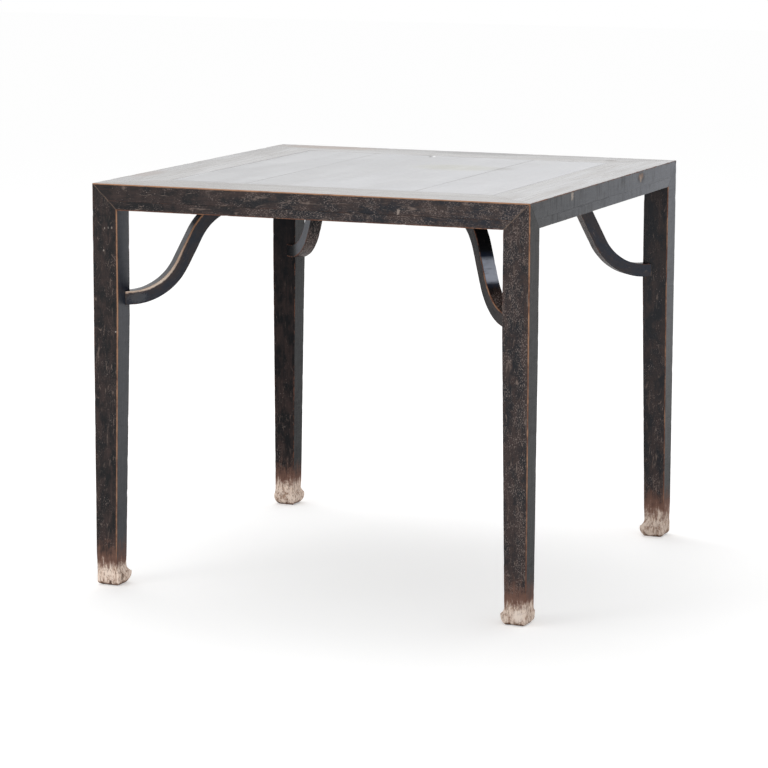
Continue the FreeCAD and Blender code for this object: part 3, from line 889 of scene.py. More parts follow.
    @staticmethod
    def build_bleach() -> Tree:
        """Feet washed pale: brown first, then pale wood with stains, cracks and a damp rim.

        Returns:
            The group: Brown, Pale, Stain and Crack, from 0 to 1.
        """
        maker = GroupMaker(
            "bleached_foot", {"Along": None, "Foot": 0.0}, ("Brown", "Pale", "Stain", "Crack")
        )
        n, along, foot = maker.nodes, maker.given["Along"], maker.given["Foot"]
        streaks = n.noise(along, 210, detail=5, stretch=(0.1, 1, 1), shift=(5, 8, 1))
        blotch = n.noise(along, 60, roughness=0.65)
        lift = n.plus(n.span(streaks, -0.25, 0.25), n.span(blotch, -0.2, 0.2))
        climb = n.plus(foot, lift)
        fibres = n.noise(along, 260, distortion=0.4, stretch=(0.2, 1, 1), shift=(2, 6, 3))
        patches = n.noise(along, 95, detail=5, roughness=0.72, stretch=(0.7, 1, 1),
                          shift=(7, 2, 8))
        stain = n.plus(n.times(fibres, 0.5), n.times(patches, 0.5))
        splits = n.noise(along, 120, distortion=0.5, stretch=(0.12, 1, 1), shift=(9, 2, 5))
        crack = n.step(n.size_of(n.minus(splits, 0.5)), 0.018, 0.004)
        crack = n.times(crack, n.step(patches, 0.42, 0.55))
        damp = n.step(n.plus(foot, n.span(patches, -0.1, 0.1)), 0.93, 1.0)
        return maker.give(
            Brown=n.step(climb, 0.25, 0.6), Pale=n.step(climb, 0.53, 0.72),
            Stain=n.step(stain, 0.45, 0.60), Crack=n.larger(crack, damp),
        )

    @staticmethod
    def build_strokes() -> Tree:
        """Marks of a plane or brush across the bar: noise drawn out across its length.

        Returns:
            The group: Stroke, from 0 to 1.
        """
        maker = GroupMaker("strokes_across", {"Along": None}, ("Stroke",))
        n, along = maker.nodes, maker.given["Along"]
        short = n.noise(along, 150, roughness=0.65, stretch=(1, 0.12, 0.12))
        where = n.noise(along, 36, detail=3, roughness=0.6, stretch=(1, 0.6, 0.6),
                        shift=(3, 3, 9))
        return maker.give(Stroke=n.times(n.step(short, 0.42, 0.68), n.step(where, 0.36, 0.64)))

    @staticmethod
    def build_spot() -> Tree:
        """One mark: full inside an ellipsoid, with a ragged rim.

        The place is measured from the centre in units of the half sizes, after a turn about
        the upright axis.

        Returns:
            The group: Mask, from 0 to 1.
        """
        maker = GroupMaker(
            "single_mark", {"Place": None, "Centre": None, "Sizes": None, "Turn": 0.0}, ("Mask",)
        )
        n, given = maker.nodes, maker.given
        away = n.add("VectorMath", {0: given["Place"], 1: given["Centre"]}, operation="SUBTRACT")
        turned = n.add("VectorRotate", {"Vector": away.outputs[0], "Angle": given["Turn"]},
                       rotation_type="Z_AXIS")
        scaled = n.add("VectorMath", {0: turned.outputs[0], 1: given["Sizes"]}, operation="DIVIDE")
        distance = n.add("VectorMath", {0: scaled.outputs[0]}, operation="LENGTH").outputs["Value"]
        ragged = n.span(n.noise(given["Place"], 260), -0.9, 0.9)
        return maker.give(Mask=n.step(n.plus(distance, ragged), 1.0, 0.6))


# ---------------------------------------------------------------- finishes


CHIP = (0.62, 0.55, 0.49)
KNOT = (0.10, 0.075, 0.06)
TAN = (0.42, 0.27, 0.16)


@dataclass(frozen=True)
class Face:
    """What the black finish reads at a point: the piece's own values, and the effects there."""

    place: Socket
    on_top: Socket
    rubbed: Socket
    seam: Socket
    amount: Socket
    gloss: Socket
    brushed: Socket
    stroke: Socket
    grain: Sockets
    rub: Sockets
    flecks: Sockets
    bleach: Sockets

    @classmethod
    def read(cls, n: Nodes, effects: Effects) -> "Face":
        """Read the piece's attributes and place the effects that follow them.

        Args:
            n: the finish's tree.
            effects: the shared effects.

        Returns:
            The sockets to draw on.
        """
        along, place = n.attribute("grain"), n.place()
        edge, rubbed, seam = n.axes(n.attribute("worn"))
        amount, gloss, strokes = n.axes(n.attribute("look"))
        foot = n.attribute("foot", "Fac")
        height = n.axes(place)["Z"]
        brushed = n.group(effects.strokes, {"Along": along})["Stroke"]
        return cls(
            place=place,
            on_top=n.times(n.step(n.facing_up(), 0.6, 0.9), n.step(height, 0.8, 0.83)),
            rubbed=rubbed,
            seam=seam,
            amount=amount,
            gloss=gloss,
            brushed=brushed,
            stroke=n.times(brushed, strokes),
            grain=n.group(effects.grain, {"Along": along}),
            rub=n.group(effects.rub, {"Along": along, "Edge": edge, "Rub": rubbed}),
            flecks=n.group(effects.flecks, {"Along": along, "Amount": amount}),
            bleach=n.group(effects.bleach, {"Along": along, "Foot": foot}),
        )


@dataclass(frozen=True)
class BlackLacquer:
    """Old black lacquer: matt and flecked on the sides, rubbed to the wood on the edges."""

    effects: Effects
    name: str = "black_lacquer_worn"
    specular: float = 0.04
    roughness: float = 0.44
    coat_roughness: float = 0.28
    bump_depth: float = 0.6 * MM
    bump_strength: float = 0.35
    black: Colour = (0.0060, 0.0062, 0.0074)
    black_hazy: Colour = (0.042, 0.027, 0.0245)
    # painted sheen: a blue black for glossy faces, for the white surround that they reflect
    black_painted_sheen: Colour = (0.013, 0.021, 0.042)
    # painted reflection: a pale blue-grey laid in streaks on the most glossy faces
    painted_sheen: Colour = (0.52, 0.56, 0.66)
    undercoat: Colour = (0.26, 0.208, 0.190)
    figure: Colour = (0.18, 0.135, 0.115)
    speck: Colour = (0.40, 0.34, 0.30)
    seam_dark: Colour = (0.012, 0.010, 0.010)
    seam_pale: Colour = (0.22, 0.155, 0.12)
    bare_fresh: Colour = (0.44, 0.24, 0.145)
    bare_pale: Colour = (0.92, 0.76, 0.63)
    bare_old: Colour = (0.15, 0.068, 0.048)
    fringe: Colour = (0.060, 0.032, 0.024)
    foot_brown: Colour = (0.19, 0.105, 0.080)
    foot_pale: Colour = (0.84, 0.70, 0.60)
    foot_shade: Colour = (0.41, 0.27, 0.20)
    # painted light: the pale wood of the feet is lighter towards the front left, darker at the back
    # right
    foot_light_slope: Triple = (-0.17, -0.09, 0.0)
    foot_crack: Colour = (0.15, 0.08, 0.052)
    # partly the worn lacquer's grey and partly painted reflection of the white surround
    top_lacquer: Colour = (0.22, 0.222, 0.238)
    top_worn: Colour = (0.165, 0.150, 0.138)
    top_streak: Colour = (0.17, 0.148, 0.13)
    # painted glare: the top grows lighter towards the right
    top_glare_slope: Triple = (0.25, 0.0, 0.0)
    top_seam: Colour = (0.11, 0.085, 0.07)
    top_seam_shown: float = 0.35
    marks: tuple[Mark, ...] = (
        # chips and scars of the front left leg, the right side and the front of the top
        Mark((-0.447, -0.476, 0.749), (0.0018, 0.003, 0.0030), CHIP, 0.4),
        Mark((-0.439, -0.476, 0.750), (0.0014, 0.003, 0.0035), CHIP, 0.3),
        Mark((-0.431, -0.476, 0.750), (0.0016, 0.003, 0.0035), CHIP, 0.35),
        Mark((-0.450, -0.476, 0.703), (0.0017, 0.003, 0.0026), CHIP, 0.45),
        Mark((-0.424, -0.476, 0.536), (0.0026, 0.003, 0.0022), CHIP, 0.55),
        Mark((0.476, -0.226, 0.831), (0.003, 0.010, 0.0125), (0.42, 0.35, 0.29)),
        Mark((0.476, 0.222, 0.826), (0.003, 0.034, 0.015), (0.010, 0.009, 0.010), 0.7),
        Mark((0.476, 0.222, 0.828), (0.003, 0.021, 0.0085), (0.22, 0.12, 0.07), 0.7),
        Mark((0.476, 0.220, 0.822), (0.003, 0.008, 0.009), (0.33, 0.25, 0.19), 0.7),
        Mark((-0.401, -0.420, 0.601), (0.024, 0.024, 0.013), (0.12, 0.122, 0.13), 0.5),
        Mark((0.200, -0.476, 0.812), (0.0045, 0.003, 0.0085), (0.40, 0.33, 0.29), 0.7),
        Mark((-0.261, -0.466, 0.841), (0.020, 0.002, 0.003), TAN, 0.6, 0.05),
        Mark((0.348, 0.404, 0.841), (0.020, 0.012, 0.003), KNOT, 0.8, 0.3),
        Mark((-0.340, 0.440, 0.841), (0.16, 0.050, 0.003), (0.36, 0.25, 0.19), 0.5),
        Mark((0.020, 0.440, 0.841), (0.15, 0.045, 0.003), (0.10, 0.10, 0.10), 0.35),
        Mark((-0.455, -0.26, 0.841), (0.030, 0.10, 0.003), (0.30, 0.20, 0.15), 0.4),
        # the split beside the toe, which also paints the shade of the notch there, and the nick in
        # the sole of the front left foot, and the bleached middle of the front right one
        Mark((-0.422, -0.462, 0.019), (0.008, 0.007, 0.010), (0.20, 0.13, 0.095), 0.75),
        Mark((-0.444, -0.474, 0.007), (0.004, 0.010, 0.007), (0.10, 0.05, 0.035), 0.95),
        Mark((0.459, -0.476, 0.020), (0.013, 0.008, 0.016), (0.93, 0.82, 0.73), 0.55),
    )

    def make(self) -> bpy.types.Material:
        """Build the material: the lacquer, then all that wear has laid over it.

        Returns:
            The material.
        """
        material, n = new_material(self.name)
        face = Face.read(n, self.effects)
        body = n.mix(face.on_top, self.sides(n, face), self.top(n, face))
        body = self.seams(n, body, face)
        body = self.edges(n, body, face)
        body = self.foot(n, body, face)
        body, marked = self.effects.marks(n, body, face.place, self.marks)

        raw = n.larger(face.rub["Bare"], face.bleach["Brown"])
        raw = n.larger(raw, n.times(marked, 0.5))
        rough = n.plus(n.span(raw, self.roughness, 0.8), n.span(face.grain["Fibres"], -0.05, 0.05))
        relief = n.minus(
            face.grain["Fibres"], n.times(face.flecks["Brown"], 0.8),
            n.times(face.rub["Bare"], 0.8), n.times(face.bleach["Crack"], 2.0),
        )
        n.surface(relief, self.bump_depth, self.bump_strength, {
            "Base Color": body, "Roughness": rough, "Coat Weight": self.polish(n, face, raw),
            "Coat Roughness": self.coat_roughness, "Specular IOR Level": self.specular,
        })
        return material

    def sides(self, n: Nodes, face: Face) -> Socket:
        """The lacquer of a side: black, blue-black as painted sheen where it is glossy and pale
        blue-grey as painted reflection where it is most glossy, hazed where it is flecked, with the
        flecks over it.

        Args:
            n: the tree that it goes in.
            face: what the piece says at the point.

        Returns:
            Its colour.
        """
        flecks = face.flecks
        # painted sheen: glossy faces turn from black to blue-black
        body = n.mix(n.step(face.gloss, 0.3, 0.8), self.black, self.black_painted_sheen)
        hazy = n.times(n.span(face.grain["Fibres"], 0.6, 1.4), flecks["Haze"],
                       n.span(face.amount, 0.2, 1.1))
        hazy = n.math("MULTIPLY", hazy, n.step(face.amount, 0.05, 0.3), clamp=True)
        body = n.mix(hazy, body, self.black_hazy)
        body = n.mix(n.times(face.stroke, 0.7), body, self.black)
        # painted reflection: pale blue-grey streaks where the gloss is highest
        painted_sheen_mask = n.times(n.step(face.gloss, 0.75, 1.0), n.span(face.brushed, 1.0, 0.2))
        body = n.mix(painted_sheen_mask, body, self.painted_sheen)
        body = n.mix(n.times(flecks["Brown"], 0.8), body, self.undercoat)
        body = n.mix(n.times(flecks["Line"], 0.85), body, self.figure)
        return n.mix(n.times(flecks["Pale"], 0.75), body, self.speck)

    def top(self, n: Nodes, face: Face) -> Socket:
        """The lacquer of the top: a blue-grey that is partly painted reflection, greyer where it is
        worn and streaked along the grain, and lighter towards the right as painted glare.

        Args:
            n: the tree that it goes in.
            face: what the piece says at the point.

        Returns:
            Its colour.
        """
        top = n.mix(face.amount, self.top_lacquer, self.top_worn)
        top = n.mix(n.times(face.grain["Figure"], 0.7), top, self.top_streak)
        # painted glare: lighter towards the right
        return n.graded(top, face.place, self.top_glare_slope)

    def seams(self, n: Nodes, body: Socket, face: Face) -> Socket:
        """Lay the joint lines over the colour: dark, and filled with pale dust where flecked.

        Args:
            n: the tree that they go in.
            body: the colour so far.
            face: what the piece says at the point.

        Returns:
            The colour with its joint lines.
        """
        line = n.step(face.seam, 0.0009, 0.0002)
        dust = n.times(n.span(face.flecks["Haze"], 0.2, 1.0), n.step(face.amount, 0.2, 0.6))
        tone = n.mix(face.on_top, n.mix(dust, self.seam_dark, self.seam_pale), self.top_seam)
        tight = n.span(n.step(face.amount, 0.05, 0.4), 0.03, 0.9)
        shown = n.mix(face.on_top, tight, (self.top_seam_shown,) * 3)
        return n.mix(n.times(line, shown), body, tone)

    def edges(self, n: Nodes, body: Socket, face: Face) -> Socket:
        """Rub the edges down to the wood, pale where the rub is the hardest.

        Args:
            n: the tree that they go in.
            body: the colour so far.
            face: what the piece says at the point.

        Returns:
            The colour with its rubbed edges.
        """
        body = n.mix(n.times(face.rub["Fringe"], 0.5), body, self.fringe)
        wood = n.mix(face.rub["Fresh"], self.bare_old, self.bare_fresh)
        streaky = n.span(face.grain["Fibres"], 0.25, 1.2)
        wide_rub = n.math("MULTIPLY", n.step(face.rubbed, 1.6, 2.8), streaky, clamp=True)
        return n.mix(face.rub["Bare"], body, n.mix(wide_rub, wood, self.bare_pale))

    def foot(self, n: Nodes, body: Socket, face: Face) -> Socket:
        """Wash the feet: brown above, and below it pale wood with its stains and cracks, lighter
        towards the front left and darker towards the back right as painted light.

        Args:
            n: the tree that they go in.
            body: the colour so far.
            face: what the piece says at the point.

        Returns:
            The colour with its feet.
        """
        pale = n.mix(face.bleach["Stain"], self.foot_pale, self.foot_shade)
        pale = n.mix(face.bleach["Crack"], pale, self.foot_crack)
        body = n.mix(face.bleach["Brown"], body, self.foot_brown)
        # painted light: lighter towards the front left, darker towards the back right
        return n.mix(face.bleach["Pale"], body, n.graded(pale, face.place, self.foot_light_slope))

    def polish(self, n: Nodes, face: Face, raw: Socket) -> Socket:
        """The coat: the look's gloss, less strokes and dull patches, and none on bare wood.

        Args:
            n: the tree that it goes in.
            face: what the piece says at the point.
            raw: how bare the point is.

        Returns:
            The coat's weight.
        """
        lifted = n.times(face.flecks["Brown"], n.span(face.on_top, 0.5, 0.0))
        kept = n.minus(1.0, n.larger(raw, lifted))
        patches = n.span(self.effects.patches(n, face.place), 0.0, 0.12)
        dull = n.plus(n.span(face.grain["Figure"], 0.0, 0.26), patches)
        gloss = n.minus(face.gloss, n.times(face.stroke, 0.3), n.times(face.on_top, dull))
        return n.math("MULTIPLY", gloss, kept, clamp=True)


@dataclass(frozen=True)
class BoardLacquer:
    """The lacquer of the boards: rubbed thin and grey on top, a grey that is partly painted
    reflection and grows lighter to the right as painted glare, and bare underneath.
    """

    effects: Effects
    # partly the rubbed lacquer and partly painted reflection of the white surround
    lacquer: Colour = (0.205, 0.212, 0.240)
    worn: Colour = (0.30, 0.30, 0.312)
    # painted glare: the boards grow lighter towards the right
    slope: Triple = (0.7, 0.0, 0.0)
    seam: Colour = (0.07, 0.056, 0.047)
    under: Colour = (0.10, 0.062, 0.04)
    coat_roughness: float = 0.26
    bump_depth: float = 0.4 * MM
    bump_strength: float = 0.25
    # the seams against the frame are faint: from the first distance from the middle on they
    # show in part, and within the second in full
    soft_seams: tuple[float, float] = (345 * MM, 335 * MM)
    marks: tuple[Mark, ...] = (
        # a yellow stain, and a dark crack in the middle board with a painted highlight along one
        # lip
        Mark((0.095, 0.125, 0.841), (0.125, 0.080, 0.003), (0.26, 0.255, 0.15), 0.5),
        Mark((0.190, 0.140, 0.841), (0.035, 0.040, 0.003), (0.10, 0.09, 0.07), 0.4),
        Mark((-0.054, 0.340, 0.841), (0.0045, 0.036, 0.003), (0.03, 0.025, 0.02), 0.9, -0.36),
        Mark((-0.045, 0.340, 0.841), (0.0040, 0.028, 0.003), (0.75, 0.75, 0.75), 0.8, -0.36),
    )

    def make(self) -> bpy.types.Material:
        """Build the material: rubbed lacquer above, with its seams, and bare wood below.

        Returns:
            The material.
        """
        material, n = new_material("board_lacquer_worn")
        along, place = n.attribute("grain"), n.place()
        seam = n.axes(n.attribute("worn"))["Z"]
        on_top = n.step(n.facing_up(), 0.0, 0.5)
        grain = n.group(self.effects.grain, {"Along": along, "Fineness": 120.0})
        flecks = n.group(self.effects.flecks, {"Along": along, "Amount": 0.3})

        body = n.mix(grain["Figure"], self.lacquer, self.worn)
        body = n.mix(n.times(grain["Fibres"], 0.3), body, self.lacquer)
        body = n.mix(n.times(flecks["Line"], 0.3), body, self.seam)
        # painted glare: lighter towards the right
        body = n.graded(body, place, self.slope)
        body, marked = self.effects.marks(n, body, place, self.marks)
        line = n.times(n.step(seam, 0.0014, 0.0002), n.span(flecks["Haze"], 0.3, 0.9))
        beside = n.size_of(n.axes(place)["X"])
        line = n.times(line, n.span(n.step(beside, *self.soft_seams), 0.3, 1.0))
        body = n.mix(line, body, self.seam)
        body = n.mix(on_top, n.mix(grain["Fibres"], self.under, self.seam), body)

        rough = n.plus(n.span(grain["Figure"], 0.30, 0.38), n.span(flecks["Brown"], 0, 0.1))
        patches = self.effects.patches(n, place)
        coat = n.times(on_top, n.span(grain["Figure"], 1.0, 0.72), n.span(patches, 0.84, 1.0),
                       n.span(marked, 1.0, 0.6))
        n.surface(grain["Fibres"], self.bump_depth, self.bump_strength, {
            "Base Color": body, "Roughness": rough, "Coat Weight": coat,
            "Coat Roughness": self.coat_roughness,
        })
        return material


@dataclass(frozen=True)
class BareWood:
    """Wood that was never lacquered, dark with age: battens, pins and wedges."""

    effects: Effects
    light: Colour = (0.16, 0.085, 0.045)
    dark: Colour = (0.05, 0.028, 0.018)
    bump_depth: float = 0.5 * MM
    bump_strength: float = 0.5

    def make(self) -> bpy.types.Material:
        """Build the material: fibres between a dark and a light brown.

        Returns:
            The material.
        """
        material, n = new_material("bare_wood_aged")
        grain = n.group(self.effects.grain, {"Along": n.place(), "Fineness": 300.0})
        body = n.mix(grain["Fibres"], self.dark, self.light)
        body = n.mix(n.times(grain["Figure"], 0.6), body, self.dark)
        n.surface(grain["Fibres"], self.bump_depth, self.bump_strength, {
            "Base Color": body, "Roughness": n.span(grain["Fibres"], 0.7, 0.85),
        })
        return material


@dataclass(frozen=True)
class Finishes:
    """The finishes of the table, built once."""

    black: bpy.types.Material
    black_top: bpy.types.Material
    boards: bpy.types.Material
    bare: bpy.types.Material

    @classmethod
    def build(cls) -> "Finishes":
        """Build the shared effects and the materials.

        Returns:
            The finishes.
        """
        effects = Effects.build()
        return cls(
            BlackLacquer(effects).make(),
            BlackLacquer(effects, "black_lacquer_top", specular=0.5, roughness=0.3).make(),
            BoardLacquer(effects).make(),
            BareWood(effects).make(),
        )


def dress(piece: bpy.types.Object, material: bpy.types.Material, slot: str, *nodes: str) -> None:
    """Give a new piece its finish and its body, hide the nodes that it stands for, and log them.

    Args:
        piece: the new piece.
        material: its finish.
        slot: not used.
        nodes: the CAD nodes that it replaces.
    """
    piece.data.materials.append(material)
    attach(piece, "root")
    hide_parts(*nodes)
    log.info("%s: %d faces, for %s", piece.name, len(piece.data.polygons), ", ".join(nodes))


# ---------------------------------------------------------------- the table's parts


@dataclass
class TopFrame:
    """The four mitred planks of the top and the four aprons under them."""

    finishes: Finishes
    edge_radius: float = 1.3 * MM
    seam_radius: float = 0.12 * MM
    inner_radius: float = 1 * MM
    board_radius: float = 0.7 * MM
    lower_radius: float = 1.2 * MM
    hidden_radius: float = 0.5 * MM
    end_radius: float = 0.5 * MM
    spacing: float = 5 * MM
    apron_spacing: float = 4 * MM
    inner_rub: float = 0.3
    # how far the pattern of one side lies from that of the next
    grain_apart: float = 1.7
    # looks of the sides where they start and where they end, counter-clockwise from above,
    # and then the same of the planks' upper faces
    looks: dict[str, tuple[Look, Look]] = field(default_factory=lambda: {
        "front": (Look(0.7, 0.32, 0.3), Look(1.12, 0.50, 0.3)),
        "right": (Look(0.08, 0.43, 1.0), Look(0.08, 0.765, 1.0)),
        "back": (Look(0.6, 0.3, 0.4), Look(0.6, 0.3, 0.4)),
        "left": (Look(0.3, 0.5, 0.6), Look(0.3, 0.4, 0.6)),
    })
    top_looks: dict[str, tuple[Look, Look]] = field(default_factory=lambda: {
        "front": (Look(0.9, 0.76, 0.0), Look(0.6, 0.93, 0.0)),
        "right": (Look(0.1, 1.0, 0.0), Look(0.1, 1.0, 0.0)),
        "back": (Look(0.3, 1.08, 0.0), Look(0.3, 1.0, 0.0)),
        "left": (Look(0.2, 1.08, 0.0), Look(0.2, 1.08, 0.0)),
    })
    # share of the gloss that the top has lost at its outer edge
    top_fade: dict[str, float] = field(default_factory=lambda: {
        "front": 0.05, "right": 0.0, "back": 0.4, "left": 0.38,
    })
    # rub of the planks' outer edges, and of the aprons' lower ones
    top_rub: dict[str, float] = field(default_factory=lambda: {
        "front": 1.0, "right": 0.36, "back": 0.4, "left": 0.4,
    })
    bottom_rub: dict[str, float] = field(default_factory=lambda: {
        "front": 0.5, "right": 0.2, "back": 0.4, "left": 0.3,
    })
    # rub of the edges at the seam between plank and apron: 0 makes them a closed joint, and
    # at -0.5 they stay whole
    seam_rub: dict[str, float] = field(default_factory=lambda: {
        "front": 0.2, "right": -0.5, "back": 0.0, "left": 0.0,
    })

    def carry(self, section: Section, start: np.ndarray) -> Skin:
        """Carry a section from its mitre at one corner of the table to the one at the next.

        Args:
            section: the outline across the bar.
            start: where each point of it starts, along the side from the corner.

        Returns:
            The surface, drawn from the corner.
        """
        length = SIZES.half_width * 2
        places = stations(length, self.spacing, self.end_radius)
        return Skin.along(section, places, start, length - start, self.end_radius, MITRE_SLANT)

    def plank(self, quarter: Quarter) -> bpy.types.Object:
        """One plank: the section runs between two mitres.

        On the outer face the mitre falls from the top corner to the inner corner of leg and
        rail, and on the top it runs at 45 degrees, so x starts at max(y, (H - z) * run).

        Args:
            quarter: the side that it is on.

        Returns:
            The plank.
        """
        side, wide = quarter.side, SIZES.frame_width
        low, high = SIZES.frame_bottom, SIZES.height
        section = Section.from_corners([
            Arris(0, low, self.seam_radius, self.seam_rub[side]),
            Arris(wide, low, self.inner_radius, self.inner_rub),
            Arris(wide, high, self.board_radius, 0.0),
            Arris(0, high, self.edge_radius, self.top_rub[side]),
        ])
        y, z = section.points.T
        skin = self.carry(section, np.maximum(y, (high - z) * SIZES.mitre_run))
        skin.shift_grain(quarter.turns * self.grain_apart, 0.3, 0.0)
        start_look, end_look = self.looks[side]
        top_start, top_end = self.top_looks[side]
        skin.age([start_look, start_look, top_start, start_look],
                 [end_look, end_look, top_end, end_look])
        fade = 1 - self.top_fade[side] * (1 - skin.points[..., 1] / wide)
        upper = skin.normals[..., 2] > 0.9
        skin.look[..., 1] *= np.where(upper, fade, 1)
        skin.wear(WearNoise(Seed.PLANK + quarter.turns))
        skin.points = SIZES.from_corner(skin.points, quarter)
        return skin.make(f"plank_{side}")

    def apron(self, quarter: Quarter) -> bpy.types.Object:
        """One apron: a strip whose ends follow the same mitre, x from (H - z) * run.

        Args:
            quarter: the side that it is on.

        Returns:
            The apron.
        """
        side, thick = quarter.side, SIZES.apron_thickness
        low, high = SIZES.rail_bottom, SIZES.frame_bottom
        section = Section.from_corners([
            Arris(0, low, self.lower_radius, self.bottom_rub[side]),
            Arris(thick, low, self.lower_radius, self.inner_rub),
            Arris(thick, high, self.hidden_radius, 0.0),
            Arris(0, high, self.seam_radius, self.seam_rub[side]),
        ], self.apron_spacing)
        skin = self.carry(section, (SIZES.height - section.points[:, 1]) * SIZES.mitre_run)
        skin.shift_grain(quarter.turns * self.grain_apart + 0.8, 0.9, 0.0)
        start_look, end_look = self.looks[side]
        skin.age([start_look] * 4, [end_look] * 4)
        skin.wear(WearNoise(Seed.APRON + quarter.turns))
        skin.points = SIZES.from_corner(skin.points, quarter)
        return skin.make(f"strip_{side}")

    def polish_top(self, plank: bpy.types.Object) -> None:
        """Give the faces of a plank that look up the smoother finish of the top.

        Args:
            plank: the plank, dressed in the finish of its sides.
        """
        polygons = plank.data.polygons
        normals = np.empty(len(polygons) * 3, dtype=np.float32)
        polygons.foreach_get("normal", normals)
        upward = normals.reshape(-1, 3)[:, 2] > 0.95
        plank.data.materials.append(self.finishes.black_top)
        polygons.foreach_set("material_index", upward.astype(np.int32))

    def build(self) -> None:
        """Build and dress all eight pieces."""
        black, slot = self.finishes.black, "black_lacquer"
        for quarter in Quarter:
            plank = self.plank(quarter)
            dress(plank, black, slot, f"frame_{quarter.side}")
            self.polish_top(plank)
            dress(self.apron(quarter), black, slot, f"apron_{quarter.side}")


class Board(Enum):
    """A board of the panel."""

    LEFT = "left"
    MIDDLE = "middle"
    RIGHT = "right"


class Batten(Enum):
    """A batten, by the side of the table that it lies to."""

    FRONT = -1
    BACK = 1


@dataclass
class Panel:
    """The three loose boards of the top and the two battens that carry them."""

    finishes: Finishes
    middle_width: float = 370 * MM
    gap: float = 0.3 * MM
    tongue: float = 10 * MM
    tongue_thickness: float = 8 * MM
    sharp_radius: float = 0.5 * MM
    board_radius: float = 0.8 * MM
    end_radius: float = 0.5 * MM
    spacing: float = 6 * MM
    board_wave: float = 0.4 * MM
    board_dents: float = 0.2 * MM
    batten_width: float = 50 * MM
    batten_inset: float = 246.04 * MM
    batten_clearance: float = 0.2 * MM
    batten_wave: float = 0.5 * MM
    batten_dents: float = 0.6 * MM

    def board(self, board: Board, left: float, right: float) -> bpy.types.Object:
        """One board, carried along the depth of the table; its tongue runs on at both ends.

        The outer boards have a tongue along their outer edge too.

        Args:
            board: which board.
            left: x of its left edge.
            right: x of its right edge.

        Returns:
            The board.
        """
        low, high = SIZES.height - SIZES.board_thickness, SIZES.height
        shoulder = low + self.tongue_thickness

        def hidden(x: float, z: float) -> Arris:
            """A sharp corner that lies in a joint."""
            return Arris(x, z, self.sharp_radius, 0)

        first = left - self.tongue if board is Board.LEFT else left
        corners = [hidden(first, low)]
        if board is Board.RIGHT:
            outer = right + self.tongue
            corners += [hidden(outer, low), hidden(outer, shoulder), hidden(right, shoulder)]
        else:
            corners += [hidden(right, low)]
        corners += [Arris(x, high, self.board_radius, 0) for x in (right, left)]
        if board is Board.LEFT:
            corners += [hidden(left, shoulder), hidden(first, shoulder)]
        section = Section.from_corners(corners, self.spacing)
        half = SIZES.half_width - SIZES.frame_width - self.gap
        end = np.where(section.points[:, 1] > shoulder + 0.1 * MM, half, half + self.tongue)
        places = stations(half * 2, self.spacing, self.end_radius)
        skin = Skin.along(section, places, -end, end, self.end_radius)
        skin.shift_grain(left * 3, 0.0, 0.0)
        # the length of its name tells a board's seed from the others'
        skin.wear(WearNoise(Seed.BOARD + len(board.value)), self.board_wave, self.board_dents)
        along, across, up = np.moveaxis(skin.points, -1, 0)
        skin.points = np.stack([across, along, up], axis=-1)
        return skin.make(f"panel_{board.value}")

    def batten(self, batten: Batten) -> bpy.types.Object:
        """One batten: a bar under the boards from one side of the frame to the other.

        Args:
            batten: which batten.

        Returns:
            The batten.
        """
        half = self.batten_width / 2
        low, high = SIZES.brace_top, SIZES.height - SIZES.board_thickness
        middle = batten.value * (SIZES.half_width - self.batten_inset)
        section = Section.from_corners([
            Arris(middle - half, low), Arris(middle + half, low),
            Arris(middle + half, high, self.sharp_radius),
            Arris(middle - half, high, self.sharp_radius),
        ])
        end = SIZES.half_width - SIZES.frame_width - self.batten_clearance
        reach = np.full(len(section.points), end)
        places = stations(end * 2, self.spacing, self.end_radius)
        skin = Skin.along(section, places, -reach, reach)
        skin.wear(WearNoise(Seed.BATTEN + batten.value), self.batten_wave, self.batten_dents)
        return skin.make(f"bearer_{batten.name.lower()}")

    def build(self) -> None:
        """Build and dress the boards and battens."""
        inner = SIZES.half_width - SIZES.frame_width - self.gap
        middle = self.middle_width / 2
        for board, left, right in (
            (Board.LEFT, -inner, -middle - self.gap),
            (Board.MIDDLE, -middle, middle),
            (Board.RIGHT, middle + self.gap, inner),
        ):
            dress(self.board(board, left, right), self.finishes.boards, "lacquered_boards",
                  f"board_{board.value}")
        for batten in Batten:
            dress(self.batten(batten), self.finishes.bare, "bare_wood",
                  f"batten_{batten.name.lower()}")


